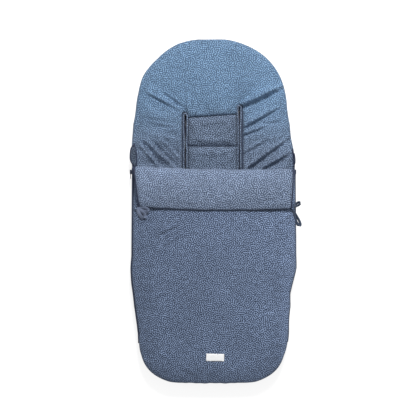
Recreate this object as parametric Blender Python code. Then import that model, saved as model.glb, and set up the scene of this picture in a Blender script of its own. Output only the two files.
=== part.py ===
"""Stroller footmuff, zipped shut and lying on its back.

+X is its right side seen from above, +Y points to the head end and +Z out of
the front cover. The origin is the centre of the underside. Sizes are in metres.
"""

import math

import bpy
import numpy as np
from mathutils import Vector
from mathutils.geometry import delaunay_2d_cdt

# Outline of the whole muff, seen from above
LENGTH = 0.950
SIDE_HALF = 0.2262
END_IN = 0.0172
HEAD_RUN = 0.2035
FOOT_RUN = 0.160
HEAD_TURN = 0.1415
FOOT_TURN = 0.175
HEAD_POWER_SHARE = 2.2
FOOT_POWER_SHARE = 3.0

# Spacing of the points that draw the cloth
EDGE_STEP = 0.026
HIDDEN_PITCH = 0.060
PANEL_PITCH = 0.030
FINE_PITCH = 0.024
ARC_STEPS = 8
LATTICE_SHARE = 0.45
MERGE = 0.0000001

# Clearances
GAP = 0.0003
LAYER_GAP = 0.0004
COLLAR_GAP = 0.0008

# Back pad: rear cloth with an upturned rim, wadding, quilted front panels
REAR_CLOTH = 0.002
REAR_LIFT = 0.0155
REAR_ROUND = 0.024
FLANGE = 0.008
PANEL_CLOTH = 0.0025
RIM_FLAT = 0.004
WING_PUFF = 0.012
WING_ROUND = 0.045
SEAT_PUFF = 0.008
SEAT_ROUND = 0.035
CHANNEL_PUFF = 0.010
CHANNEL_ROUND = 0.026
SPLIT_UNDER = 0.0655
CHANNEL_DOWN = 0.018
CHANNEL_PITCH = 0.085

# Harness slots and crotch slot
SLOT_X = 0.076
SLOT_DOWN = 0.194
SLOT_OPENING = 0.005
SLEEVE_WALL = 0.0008
WELT_WIDTH = 0.0052
WELT_HEIGHT = 0.0075
CROTCH_LENGTH = 0.110
CROTCH_DOWN = 0.073

# Front cover and sewn toe end
COVER_Z = 0.042
LINING = 0.0015
COVER_CLOTH = 0.0025
COVER_EDGE_FILL = 0.002
COVER_FILL = 0.0142
COVER_RISE = 0.016
COVER_ROUND = 0.045
COVER_CROWN = 0.004
TOE_LENGTH = 0.110
HEAD_SHOWN = 0.3615
HEM = 0.003

# Turned-down collar
COLLAR_IN = 0.0192
COLLAR_LENGTH = 0.1085
COLLAR_OVER = 0.003
COLLAR_CORNER = 0.010
COLLAR_SMALL_CORNER = 0.003
COLLAR_CLOTH = 0.0022
COLLAR_FLANGE = 0.006
COLLAR_RAMP = 0.003
COLLAR_FILL = 0.008
COLLAR_FILL_ROUND = 0.022
COLLAR_RISE = 0.012
COLLAR_ROUND = 0.028
COLLAR_AXIS_OVER = 0.004

# Zips along both sides
ZIP_START = 0.004
ZIP_INSET = 0.0022
TAPE = 0.0012
CHAIN_WIDTH = 0.0026
CHAIN_HEIGHT = 0.0016
CHAIN_PARTING = 0.0018
BAND_CLOTH = 0.0016
STOP_LENGTH = 0.004
EAR_LENGTH = 0.056
EAR_CLOTH = 0.0025
LEFT_EAR_IN = 0.012
RIGHT_EAR_IN = 0.005
EAR_OUT = 0.003
EAR_ROUND_SHARE = 0.7

# Slider, its pin and its pull
SLIDER_DOWN = 0.0065
SLIDER_LENGTH = 0.012
SLIDER_HEIGHT = 0.010
SLIDER_PLATE = 0.0016
SLIDER_WEB = 0.0012
LUG_REACH = 0.0044
LUG_GAP = 0.0046
LUG_THICK = 0.0011
PIN_RADIUS = 0.0007
PULL_HOLE = 0.0011
PULL_EYE = 0.0020
PULL_LENGTH = 0.019
PULL_THICK = 0.0016
PULL_HEIGHT = 0.0038

# Bare label
LABEL_WIDTH = 0.049
LABEL_HEIGHT = 0.022
LABEL_X = 0.007
LABEL_UP = 0.074
LABEL_CLOTH = 0.0008
LABEL_PITCH = 0.014

# Tie bows at the collar's lower corners
KNOT_IN = 0.0124
KNOT_DOWN = 0.0045
KNOT_RADIUS = 0.0048
KNOT_RING_SHARES = (0.3, 0.6, 0.8, 0.95)
RIBBON_HEIGHT = 0.007
RIBBON_THICK = 0.0024
LOOP_WIDTH = 0.0095
LOOP_PINCH = 0.0014
LOOP_MIDDLE_SHARE = 0.55
DROOP_SHARE = 0.5
LEFT_INNER_TIP = (0.034, -0.006)
LEFT_LOWER_TIP = (0.009, -0.027)
RIGHT_UPPER_TIP = (0.022, 0.018)
RIGHT_LOWER_TIP = (0.021, -0.046)

PRINT_BLUE = (0.145, 0.21, 0.315, 1.0)
PRINT_PALE = (0.185, 0.237, 0.345, 1.0)
REAR_NAVY = (0.04, 0.06, 0.12, 1.0)
WADDING_WHITE = (0.82, 0.82, 0.80, 1.0)
TAPE_NAVY = (0.02, 0.03, 0.07, 1.0)
CHAIN_NAVY = (0.015, 0.02, 0.05, 1.0)
SLIDER_NAVY = (0.03, 0.035, 0.06, 1.0)
LABEL_WHITE = (0.95, 0.95, 0.95, 1.0)

# Heights and places worked out from the sizes above
END_HALF = SIDE_HALF - END_IN
COVER_TOP_Y = LENGTH / 2 - HEAD_SHOWN
FOLD_Y = TOE_LENGTH - LENGTH / 2
SPLIT_Y = COVER_TOP_Y - SPLIT_UNDER
SLOT_TOP_Y = LENGTH / 2 - SLOT_DOWN
CHANNEL_TOP_Y = SLOT_TOP_Y - CHANNEL_DOWN
CROTCH_HIGH_Y = SPLIT_Y - CROTCH_DOWN
CROTCH_LOW_Y = CROTCH_HIGH_Y - CROTCH_LENGTH
COLLAR_HALF = SIDE_HALF - COLLAR_IN
COLLAR_LOW_Y = COVER_TOP_Y - COLLAR_LENGTH
COLLAR_HIGH_Y = COVER_TOP_Y + COLLAR_OVER
COLLAR_AXIS_Y = COVER_TOP_Y + COLLAR_AXIS_OVER
ZIP_LOW_Y = FOLD_Y + ZIP_START
SLIDER_Y = COVER_TOP_Y - SLIDER_DOWN
LABEL_Y = LABEL_UP - LENGTH / 2
KNOT_X = SIDE_HALF - KNOT_IN
KNOT_Y = COLLAR_LOW_Y - KNOT_DOWN
HEAD_START_Y = LENGTH / 2 - HEAD_RUN
FOOT_START_Y = FOOT_RUN - LENGTH / 2
PANEL_RIM_Z = REAR_LIFT + REAR_CLOTH + GAP
RIM_TOP_Z = PANEL_RIM_Z + PANEL_CLOTH
PAD_TOP_Z = PANEL_RIM_Z - LAYER_GAP
COVER_RIM_Z = COVER_Z + LINING + GAP
COVER_RIM_TOP_Z = COVER_RIM_Z + COVER_CLOTH
COVER_TOP_Z = COVER_RIM_TOP_Z + COVER_RISE + COVER_CROWN
ZIP_MIDDLE_Z = (RIM_TOP_Z + COVER_Z) / 2
CHAIN_MIDDLE = ZIP_INSET + TAPE / 2
SLEEVE_HALF = SLOT_OPENING / 2 + SLEEVE_WALL
SLOT_CUT_HALF = SLEEVE_HALF + LAYER_GAP
WELT_HALF = SLOT_OPENING / 2 + WELT_WIDTH
SLOT_PANEL_HALF = WELT_HALF + GAP
SLOT_LOW_CENTRE_Y = SPLIT_Y + SLOT_PANEL_HALF + GAP
SLOT_HIGH_CENTRE_Y = SLOT_TOP_Y - SLOT_PANEL_HALF
CROTCH_LOW_CENTRE_Y = CROTCH_LOW_Y + SLOT_PANEL_HALF
CROTCH_HIGH_CENTRE_Y = CROTCH_HIGH_Y - SLOT_PANEL_HALF
PAD_RINGS = (RIM_FLAT, FLANGE, REAR_ROUND * 2 / 3, REAR_ROUND)
WING_RINGS = (RIM_FLAT, FLANGE, REAR_ROUND, RIM_FLAT + WING_ROUND)
COVER_RINGS = (*PAD_RINGS, FLANGE + COVER_ROUND)
COLLAR_RINGS = (
    COLLAR_FLANGE - COLLAR_RAMP,
    COLLAR_FLANGE,
    COLLAR_FLANGE + COLLAR_FILL_ROUND / 3,
    COLLAR_FLANGE + COLLAR_FILL_ROUND,
)


def smooth(share):
    held = min(max(share, 0.0), 1.0)
    return held * held * (3.0 - 2.0 * held)


def round_end(half, run, power_share, angle):
    """A point of a round end, out from the middle of its straight start."""
    across = half * max(math.cos(angle), 0.0) ** (2.0 / power_share)
    along = run * math.sin(angle) ** (2.0 / power_share)
    return across, along


def right_outline():
    """Closely spaced points of the right edge, from the foot's tip to the head's."""
    count = 160
    points = []
    for step in range(count):
        angle = math.pi / 2 * (1.0 - step / count)
        across, along = round_end(END_HALF, FOOT_RUN, FOOT_POWER_SHARE, angle)
        points.append((across, FOOT_START_Y - along))
    for step in range(count):
        y = FOOT_START_Y + (HEAD_START_Y - FOOT_START_Y) * step / count
        swell = smooth((HEAD_START_Y - y) / HEAD_TURN) * smooth((y - FOOT_START_Y) / FOOT_TURN)
        points.append((END_HALF + (SIDE_HALF - END_HALF) * swell, y))
    for step in range(count + 1):
        angle = math.pi / 2 * step / count
        across, along = round_end(END_HALF, HEAD_RUN, HEAD_POWER_SHARE, angle)
        points.append((across, HEAD_START_Y + along))
    points[0] = (0.0, -LENGTH / 2)
    points[-1] = (0.0, LENGTH / 2)
    return np.array(points)


def resample(points, step):
    """The same line, with its points evenly spaced."""
    lengths = np.r_[0.0, np.cumsum(np.hypot(*np.diff(points, axis=0).T))]
    count = max(1, math.ceil(lengths[-1] / step))
    at = np.linspace(0.0, lengths[-1], count + 1)
    return np.c_[np.interp(at, lengths, points[:, 0]), np.interp(at, lengths, points[:, 1])]


def inward_normals(loop):
    """Unit normals at a closed line's points, to the left of its travel."""
    along = np.roll(loop, -1, axis=0) - np.roll(loop, 1, axis=0)
    along /= np.hypot(along[:, 0], along[:, 1])[:, None]
    return np.c_[-along[:, 1], along[:, 0]]


RIGHT_EDGE = resample(right_outline(), EDGE_STEP)
OUTLINE = np.r_[RIGHT_EDGE, RIGHT_EDGE[-2:0:-1] * (-1.0, 1.0)]
OUTLINE_NORMALS = inward_normals(OUTLINE)


def distance(loops, points):
    """How far each point is from the nearest line of the loops."""
    nearest = np.full(len(points), np.inf)
    for loop in loops:
        start = np.asarray(loop)
        run = np.roll(start, -1, axis=0) - start
        away = points[:, None, :] - start[None, :, :]
        share = (away * run).sum(axis=2) / (run * run).sum(axis=1)
        foot = start + np.clip(share, 0.0, 1.0)[:, :, None] * run
        found = np.hypot(*(points[:, None, :] - foot).transpose(2, 0, 1))
        nearest = np.minimum(nearest, found.min(axis=1))
    return nearest


def inside(loops, points):
    """Whether each point is inside the first loop and outside the others."""
    crossings = np.zeros(len(points), int)
    for loop in loops:
        start = np.asarray(loop)
        end = np.roll(start, -1, axis=0)
        x, y = points[:, 0, None], points[:, 1, None]
        spans = (start[:, 1] > y) != (end[:, 1] > y)
        rise = np.where(end[:, 1] == start[:, 1], 1.0, end[:, 1] - start[:, 1])
        meets = start[:, 0] + (y - start[:, 1]) * (end[:, 0] - start[:, 0]) / rise
        crossings += (spans & (x < meets)).sum(axis=1)
    return crossings % 2 == 1


def edge_depth(points):
    """How far inside the muff's outline each point is, and zero outside it."""
    return np.where(inside([OUTLINE], points), distance([OUTLINE], points), 0.0)


def rounding(depth, reach):
    """A quarter round from 0 at the edge to 1 at reach."""
    share = np.clip(depth / reach, 0.0, 1.0)
    return np.sqrt(1.0 - (1.0 - share) ** 2)


def ring_round(depth, start, reach, rings):
    """The quarter round from start on, drawn straight between the rings' depths."""
    knots = np.array((0.0, *rings))
    return np.interp(depth, knots, rounding(knots - start, reach))


def right_run(inset, low, high):
    """The right edge, set in by inset, between two heights of y."""
    count = len(RIGHT_EDGE)
    edge = (OUTLINE + inset * OUTLINE_NORMALS)[:count]
    kept = [edge[(edge[:, 1] > low + GAP) & (edge[:, 1] < high - GAP)]]
    if low > edge[0, 1]:
        kept.insert(0, [(np.interp(low, edge[:, 1], edge[:, 0]), low)])
    if high < edge[-1, 1]:
        kept.append([(np.interp(high, edge[:, 1], edge[:, 0]), high)])
    return np.concatenate(kept)


def crossing(start, end, step):
    """Points strictly between two ends, about a step apart."""
    count = max(1, math.ceil(math.dist(start, end) / step))
    return np.linspace(start, end, count + 1)[1:-1]


def panel_loop(inset, low, high):
    """The outline set in by inset and cut off square at low and at high."""
    right = right_run(inset, low, high)
    left = right[::-1] * (-1.0, 1.0)
    if right[-1, 0] > GAP:
        loop = np.r_[right, crossing(right[-1], left[0], EDGE_STEP), left]
    else:
        loop = np.r_[right, left[1:]]
    if right[0, 0] > GAP:
        return np.r_[loop, crossing(left[-1], right[0], EDGE_STEP)]
    return loop[:-1]


def stadium(x, low, high, half):
    """A long slot's loop, with round ends about two centres."""
    turn = np.linspace(0.0, math.pi, ARC_STEPS + 1)
    top = np.c_[x + half * np.cos(turn), high + half * np.sin(turn)]
    foot = np.c_[x - half * np.cos(turn), low - half * np.sin(turn)]
    return np.r_[top, foot]


def rounded_box(low, high, corner):
    """A rectangle's loop with round corners."""
    centres = (
        (high[0] - corner, high[1] - corner),
        (low[0] + corner, high[1] - corner),
        (low[0] + corner, low[1] + corner),
        (high[0] - corner, low[1] + corner),
    )
    points = []
    for quarter, (x, y) in enumerate(centres):
        for step in range(ARC_STEPS // 2 + 1):
            angle = math.pi / 2 * (quarter + step / (ARC_STEPS // 2))
            points.append((x + corner * math.cos(angle), y + corner * math.sin(angle)))
    return np.array(points)


def along_loop(loop, step):
    """The loop with its long sides divided into steps."""
    points = []
    for start, end in zip(loop, np.roll(loop, -1, axis=0)):
        points.append([start])
        points.append(crossing(start, end, step))
    return np.concatenate(points)


def material(name, colour, roughness, metallic=0.0):
    made = bpy.data.materials.new(name)
    made.use_nodes = True
    shader = made.node_tree.nodes["Principled BSDF"]
    shader.inputs["Base Color"].default_value = colour
    shader.inputs["Roughness"].default_value = roughness
    shader.inputs["Metallic"].default_value = metallic
    return made


def add_object(name, vertices, faces, colour, roughness=0.9, smooth_below=60.0):
    mesh = bpy.data.meshes.new(name)
    mesh.from_pydata([tuple(v) for v in vertices], [], faces)
    mesh.validate()
    mesh.shade_smooth()
    mesh.set_sharp_from_angle(angle=math.radians(smooth_below))
    mesh.materials.append(material(name, colour, roughness))
    made = bpy.data.objects.new(name, mesh)
    bpy.context.scene.collection.objects.link(made)
    return made


def lattice(loops, lines, pitch):
    """Staggered points that fill the loops, clear of every line."""
    low = np.floor(loops[0].min(axis=0) / pitch).astype(int)
    high = np.ceil(loops[0].max(axis=0) / pitch).astype(int)
    points = []
    for row in range(low[1], high[1] + 1):
        for column in range(low[0], high[0] + 1):
            points.append(((column + row % 2 / 2) * pitch, row * pitch))
    points = np.array(points)
    kept = inside(loops, points) & (distance(lines, points) > pitch * LATTICE_SHARE)
    return points[kept]


def sheet_solid(name, loops, rings, extra, pitch, top, bottom, colour, roughness=0.9):
    """A closed solid over the loops' area, between the top and bottom heights.

    Its faces keep to lines along the muff's outline at the rings' depths and to
    the extra lines, and the rest is filled with points at the pitch.
    """
    loops = [np.asarray(loop) for loop in loops]
    wound = [loops[0]] + [loop[::-1] for loop in loops[1:]]
    rounds = [OUTLINE + ring * OUTLINE_NORMALS for ring in rings]
    lines = [*wound, *rounds, *extra]
    corners = np.concatenate(lines)
    edges = []
    first = 0
    for line in lines:
        count = len(line)
        edges += [(first + i, first + (i + 1) % count) for i in range(count)]
        first += count
    points = [Vector(p) for p in corners]
    if pitch:
        points += [Vector(p) for p in lattice(wound, lines, pitch)]
    flat, _, faces, *_ = delaunay_2d_cdt(points, edges, [], 0, MERGE)
    flat = np.array([tuple(p) for p in flat])
    faces = np.array([tuple(f) for f in faces])
    faces = faces[inside(wound, flat[faces].mean(axis=1))]
    a, b, c = flat[faces].transpose(1, 0, 2)
    turn = np.cross(b - a, c - a)
    faces[turn < 0] = faces[turn < 0][:, ::-1]
    used = np.unique(faces)
    renumber = np.full(len(flat), -1)
    renumber[used] = np.arange(len(used))
    flat, faces = flat[used], renumber[faces]
    count = len(flat)
    upper = np.c_[flat, top(flat)]
    lower = np.c_[flat, bottom(flat)]
    directed = {tuple(e) for f in faces.tolist() for e in zip(f, f[1:] + f[:1])}
    walls = [(a, a + count, b + count, b) for a, b in directed if (b, a) not in directed]
    solid = faces.tolist() + [[i + count for i in f[::-1]] for f in faces.tolist()] + sorted(walls)
    return add_object(name, np.r_[upper, lower], solid, colour, roughness)


def level(height):
    """A flat top or bottom."""
    return lambda points: np.full(len(points), height)


def ride(made, carrier):
    """Puts a piece that is modelled in place under the empty on its joint."""
    made.parent = carrier
    made.location = made.location - carrier.matrix_world.translation
    return made


def empty(name, place, parent=None):
    made = bpy.data.objects.new(name, None)
    bpy.context.scene.collection.objects.link(made)
    made.location = place
    if parent:
        made.parent = parent
        made.location = Vector(place) - parent.matrix_world.translation
    bpy.context.view_layer.update()
    return made


def rear_bottom(points):
    return REAR_LIFT * (1.0 - ring_round(edge_depth(points), 0.0, REAR_ROUND, PAD_RINGS))


def rear_top(points):
    return rear_bottom(points) + REAR_CLOTH


def pad_bottom(points):
    return rear_top(points) + LAYER_GAP


def panel_top(seams, puff, reach):
    """A quilted panel's upper side, drawn down along the rim and its seams."""

    def height(points):
        depth = np.minimum(edge_depth(points) - RIM_FLAT, distance(seams, points))
        return PANEL_RIM_Z + PANEL_CLOTH + puff * rounding(depth, reach)

    return height


def slot_holes(half):
    """The two harness slots and the crotch slot, cut to a half width."""
    left = stadium(-SLOT_X, SLOT_LOW_CENTRE_Y, SLOT_HIGH_CENTRE_Y, half)
    right = stadium(SLOT_X, SLOT_LOW_CENTRE_Y, SLOT_HIGH_CENTRE_Y, half)
    crotch = stadium(0.0, CROTCH_LOW_CENTRE_Y, CROTCH_HIGH_CENTRE_Y, half)
    return left, right, crotch


def back_layers():
    whole = OUTLINE
    cuts = slot_holes(SLOT_CUT_HALF)
    sheet_solid("rear_fabric", [whole, *cuts], PAD_RINGS, (), 0, rear_top, rear_bottom, REAR_NAVY)
    inner = OUTLINE + FLANGE * OUTLINE_NORMALS
    sheet_solid(
        "back_wadding",
        [inner, *cuts],
        PAD_RINGS[2:],
        (),
        HIDDEN_PITCH,
        level(PAD_TOP_Z),
        pad_bottom,
        WADDING_WHITE,
    )


def head_seam(out):
    """The line over both slots and the channels' top, moved outwards, both ways."""
    radius = SLOT_PANEL_HALF + out
    top_y = CHANNEL_TOP_Y + out
    end = math.asin(max(0.0, top_y - SLOT_HIGH_CENTRE_Y) / radius)
    turn = np.linspace(math.pi, end, ARC_STEPS + 1)
    arch = np.c_[-SLOT_X + radius * np.cos(turn), SLOT_HIGH_CENTRE_Y + radius * np.sin(turn)]
    foot = (-SLOT_X - radius, SPLIT_Y)
    left = np.r_[[foot], crossing(foot, arch[0], EDGE_STEP), arch]
    if top_y < SLOT_HIGH_CENTRE_Y:
        left = np.r_[left, [(arch[-1, 0], top_y)]]
    right = left[::-1] * (-1.0, 1.0)
    return np.r_[left, crossing(left[-1], right[0], EDGE_STEP), right]


def head_and_wings():
    """One panel over the head and down both sides of the slots."""
    right = right_run(0.0, SPLIT_Y, LENGTH)
    outer = np.r_[right, right[-2::-1] * (-1.0, 1.0)]
    seam = head_seam(0.0)
    right_cut = crossing(seam[-1], outer[0], EDGE_STEP)
    left_cut = right_cut[::-1] * (-1.0, 1.0)
    loop = np.r_[outer, left_cut, seam, right_cut]
    there_and_back = np.r_[seam, seam[-2:0:-1]]
    top = panel_top([there_and_back], WING_PUFF, WING_ROUND)
    lines = []
    for out in (FLANGE, REAR_ROUND):
        line = head_seam(out)
        lines.append(np.r_[line, line[-2:0:-1]])
    sheet_solid(
        "head_and_wings_panel",
        [loop],
        WING_RINGS,
        lines,
        PANEL_PITCH,
        top,
        level(PANEL_RIM_Z),
        PRINT_BLUE,
    )


def channel_loop(low, high, inset):
    half = SLOT_X - SLOT_PANEL_HALF - GAP - inset
    low_y = low + inset
    high_y = high - inset
    corners = np.array([(half, high_y), (-half, high_y), (-half, low_y), (half, low_y)])
    return along_loop(corners, EDGE_STEP)


def centre_channels():
    """The sewn channels between the slots."""
    seams = [CHANNEL_TOP_Y - GAP, CHANNEL_TOP_Y - CHANNEL_PITCH]
    seams += [CHANNEL_TOP_Y - 2 * CHANNEL_PITCH, SPLIT_Y + GAP]
    names = ("upper_channel", "middle_channel", "lower_channel")
    for name, high, low in zip(names, seams, seams[1:]):
        loop = channel_loop(low + GAP, high, 0.0)
        lines = [channel_loop(low, high, inset) for inset in (RIM_FLAT, RIM_FLAT + FLANGE)]
        top = panel_top([loop], CHANNEL_PUFF, min(CHANNEL_ROUND, (high - low) / 2))
        bottom = level(PANEL_RIM_Z)
        sheet_solid(name, [loop], (), lines, FINE_PITCH, top, bottom, PRINT_BLUE)


def seat_panel():
    """The panel under the cover, with the crotch slot."""
    loop = panel_loop(0.0, -LENGTH, SPLIT_Y - GAP)
    hole = stadium(0.0, CROTCH_LOW_CENTRE_Y, CROTCH_HIGH_CENTRE_Y, SLOT_PANEL_HALF)
    width = SIDE_HALF + SIDE_HALF
    seam = np.array([(-width, SPLIT_Y), (width, SPLIT_Y)])
    top = panel_top([hole, seam], SEAT_PUFF, SEAT_ROUND)
    bottom = level(PANEL_RIM_Z)
    sheet_solid("seat_panel", [loop, hole], WING_RINGS, (), HIDDEN_PITCH, top, bottom, PRINT_PALE)


def slot_edges(name, x, low, high):
    """The sleeve through the wadding and the rolled welt round a slot's mouth."""
    outer = stadium(x, low, high, SLEEVE_HALF)
    inner = stadium(x, low, high, SLOT_OPENING / 2)
    heights = (level(PAD_TOP_Z), level(GAP))
    sheet_solid(f"{name}_sleeve", [outer, inner], (), (), 0, *heights, REAR_NAVY)
    sections = 8
    path = stadium(x, low, high, SLOT_OPENING / 2 + WELT_WIDTH / 2)
    normals = inward_normals(path)
    middle = PANEL_RIM_Z + WELT_HEIGHT / 2
    vertices = []
    for point, normal in zip(path, normals):
        for section in range(sections):
            angle = math.tau * section / sections
            across = point + WELT_WIDTH / 2 * math.cos(angle) * normal
            vertices.append((*across, middle + WELT_HEIGHT / 2 * math.sin(angle)))
    faces = []
    for i in range(len(path)):
        after = (i + 1) % len(path)
        for j in range(sections):
            beside = (j + 1) % sections
            quad = (i * sections + j, after * sections + j)
            faces.append((*quad, after * sections + beside, i * sections + beside)[::-1])
    add_object(f"{name}_welt", vertices, faces, PRINT_BLUE)


def cover_fill_height(depth):
    """Height of the cover's filling above its rim, at a depth in from the edge."""
    ramp = np.interp(depth, [RIM_FLAT, FLANGE - GAP], [0.0, 1.0])
    rise = ring_round(depth, FLANGE, COVER_ROUND, COVER_RINGS)
    return ramp * COVER_EDGE_FILL + COVER_FILL * rise


def cover_bottom(points):
    return COVER_RIM_Z + LAYER_GAP + cover_fill_height(edge_depth(points))


def cover_top(points):
    crown = COVER_CROWN * (1.0 - (points[:, 0] / SIDE_HALF) ** 2)
    share = ring_round(edge_depth(points), RIM_FLAT, COVER_ROUND, COVER_RINGS)
    return COVER_RIM_TOP_Z + (COVER_RISE + crown) * share


def fill_top(points):
    return cover_bottom(points) - LAYER_GAP


def apron(name, low, high, pitch):
    """Outer cloth, filling and lining of one length of the front cover."""
    made = [
        sheet_solid(
            f"{name}_fabric",
            [panel_loop(0.0, low, high)],
            COVER_RINGS,
            (),
            pitch,
            cover_top,
            cover_bottom,
            PRINT_BLUE,
        ),
        sheet_solid(
            f"{name}_wadding",
            [panel_loop(FLANGE, low + HEM, high - HEM)],
            COVER_RINGS[2:],
            (),
            PANEL_PITCH,
            fill_top,
            level(COVER_RIM_Z),
            WADDING_WHITE,
        ),
        sheet_solid(
            f"{name}_lining",
            [panel_loop(0.0, low, high)],
            (),
            (),
            0,
            level(COVER_Z + LINING),
            level(COVER_Z),
            PRINT_PALE,
        ),
    ]
    return made


def collar_loop(inset):
    """The collar's outline, set in by inset."""
    corner = max(COLLAR_CORNER - inset, COLLAR_SMALL_CORNER)
    low = (inset - COLLAR_HALF, COLLAR_LOW_Y + inset)
    high = (COLLAR_HALF - inset, COLLAR_HIGH_Y - inset)
    return along_loop(rounded_box(low, high, corner), EDGE_STEP)


def collar(carrier):
    """The cover's top end, turned down over the cover."""
    rings = COVER_RINGS[-2:]
    outer = collar_loop(0.0)

    def base(points):
        return cover_top(points) + COLLAR_GAP

    def depth(points):
        return np.where(inside([outer], points), distance([outer], points), 0.0)

    def fill(points):
        start = COLLAR_FLANGE - COLLAR_RAMP
        ramp = np.interp(depth(points), [start, COLLAR_FLANGE - GAP], [0.0, 1.0])
        rise = ring_round(depth(points), COLLAR_FLANGE, COLLAR_FILL_ROUND, COLLAR_RINGS)
        return base(points) + LINING + GAP + ramp * COLLAR_RAMP + COLLAR_FILL * rise

    def top(points):
        rise = COLLAR_RISE * rounding(depth(points), COLLAR_ROUND)
        return base(points) + LINING + GAP + COLLAR_CLOTH + rise

    def wadding_top(points):
        return fill(points) - LAYER_GAP

    def wadding_bottom(points):
        return base(points) + LINING + GAP

    def lining_top(points):
        return base(points) + LINING

    lines = [collar_loop(ring) for ring in COLLAR_RINGS]
    layers = (
        ("collar_fabric", outer, lines, top, fill, PRINT_PALE),
        ("collar_wadding", lines[1], lines[2:], wadding_top, wadding_bottom, WADDING_WHITE),
        ("collar_lining", outer, [], lining_top, base, PRINT_BLUE),
    )
    for name, loop, extra, upper, lower, colour in layers:
        made = sheet_solid(name, [loop], rings, extra, PANEL_PITCH, upper, lower, colour)
        ride(made, carrier)


def edge_strip(name, side, insets, span, heights, colour, roughness=0.9):
    """A strip that stands along one edge, between two insets and two heights."""
    outer = right_run(insets[0], *span)
    inner = right_run(insets[1], *span)[::-1]
    loop = np.r_[outer, inner]
    if side < 0:
        loop = loop[::-1] * (-1.0, 1.0)
    top, bottom = level(heights[1]), level(heights[0])
    return sheet_solid(name, [loop], (), (), 0, top, bottom, colour, roughness)


def zip_halves(name, side, cover):
    tape = (ZIP_INSET, ZIP_INSET + TAPE)
    chain = (CHAIN_MIDDLE - CHAIN_WIDTH / 2, CHAIN_MIDDLE + CHAIN_WIDTH / 2)
    parting = CHAIN_PARTING / 2
    low_chain = (ZIP_MIDDLE_Z - parting - CHAIN_HEIGHT, ZIP_MIDDLE_Z - parting)
    high_chain = (ZIP_MIDDLE_Z + parting, ZIP_MIDDLE_Z + parting + CHAIN_HEIGHT)
    back_span = (ZIP_LOW_Y, COVER_TOP_Y + SLIDER_LENGTH / 2)
    cover_span = (ZIP_LOW_Y, COVER_TOP_Y)
    low_tape = (RIM_TOP_Z + GAP, low_chain[0] - GAP)
    high_tape = (high_chain[1] + GAP, COVER_Z - GAP)
    edge_strip(f"{name}_back_tape", side, tape, back_span, low_tape, TAPE_NAVY)
    edge_strip(f"{name}_back_chain", side, chain, back_span, low_chain, CHAIN_NAVY, 0.5)
    made = edge_strip(f"{name}_cover_tape", side, tape, cover_span, high_tape, TAPE_NAVY)
    ride(made, cover)
    made = edge_strip(f"{name}_cover_chain", side, chain, cover_span, high_chain, CHAIN_NAVY, 0.5)
    ride(made, cover)
    stop = (ZIP_LOW_Y - GAP - STOP_LENGTH, ZIP_LOW_Y - GAP)
    both = (low_chain[0], high_chain[1])
    edge_strip(f"{name}_zip_stop", side, chain, stop, both, SLIDER_NAVY, 0.4)


def zip_ear(name, side, inward):
    """The back tape's loose end beside the collar's fold, a flat lens of cloth."""
    low = COVER_TOP_Y + SLIDER_LENGTH / 2 + GAP
    steps = ARC_STEPS + ARC_STEPS
    shares = np.linspace(0.0, 1.0, steps + 1)
    ys = low + EAR_LENGTH * shares
    edge = right_run(0.0, low, low + EAR_LENGTH)
    along = np.interp(ys, edge[:, 1], edge[:, 0])
    swell = np.sin(math.pi * shares) ** EAR_ROUND_SHARE
    outer = np.c_[along + EAR_OUT * swell - GAP, ys]
    inner = np.c_[along - GAP - (inward * swell), ys][::-1]
    loop = np.r_[outer, inner[1:-1]]
    if side < 0:
        loop = loop[::-1] * (-1.0, 1.0)
    seam = np.array([(-SIDE_HALF, SPLIT_Y), (SIDE_HALF, SPLIT_Y)])
    rest = panel_top([seam], WING_PUFF, WING_ROUND)

    def bottom(points):
        return rest(points) + COLLAR_GAP

    def top(points):
        return bottom(points) + EAR_CLOTH

    return sheet_solid(f"{name}_ear", [loop], (), (), 0, top, bottom, TAPE_NAVY)


def toe_band():
    """The strip of cloth that closes the toe between the zips' lower ends."""
    high = ZIP_LOW_Y - STOP_LENGTH - 2 * GAP
    outer = right_run(ZIP_INSET, -LENGTH, high)
    inner = right_run(ZIP_INSET + BAND_CLOTH, -LENGTH, high)
    left = inner[1:][::-1] * (-1.0, 1.0)
    loop = np.r_[outer, inner[::-1], left[::-1], (outer[1:] * (-1.0, 1.0))[::-1]]
    heights = (level(COVER_Z - GAP), level(RIM_TOP_Z + GAP))
    sheet_solid("toe_band", [loop], (), (), 0, *heights, PRINT_BLUE)


def label():
    half = np.array((LABEL_WIDTH / 2, LABEL_HEIGHT / 2))
    middle = np.array((LABEL_X, LABEL_Y))
    loop = along_loop(rounded_box(middle - half, middle + half, LABEL_CLOTH), LABEL_PITCH)

    def bottom(points):
        return cover_top(points) + GAP

    def top(points):
        return bottom(points) + LABEL_CLOTH

    sheet_solid("label", [loop], (), (), LABEL_PITCH, top, bottom, LABEL_WHITE)


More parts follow.
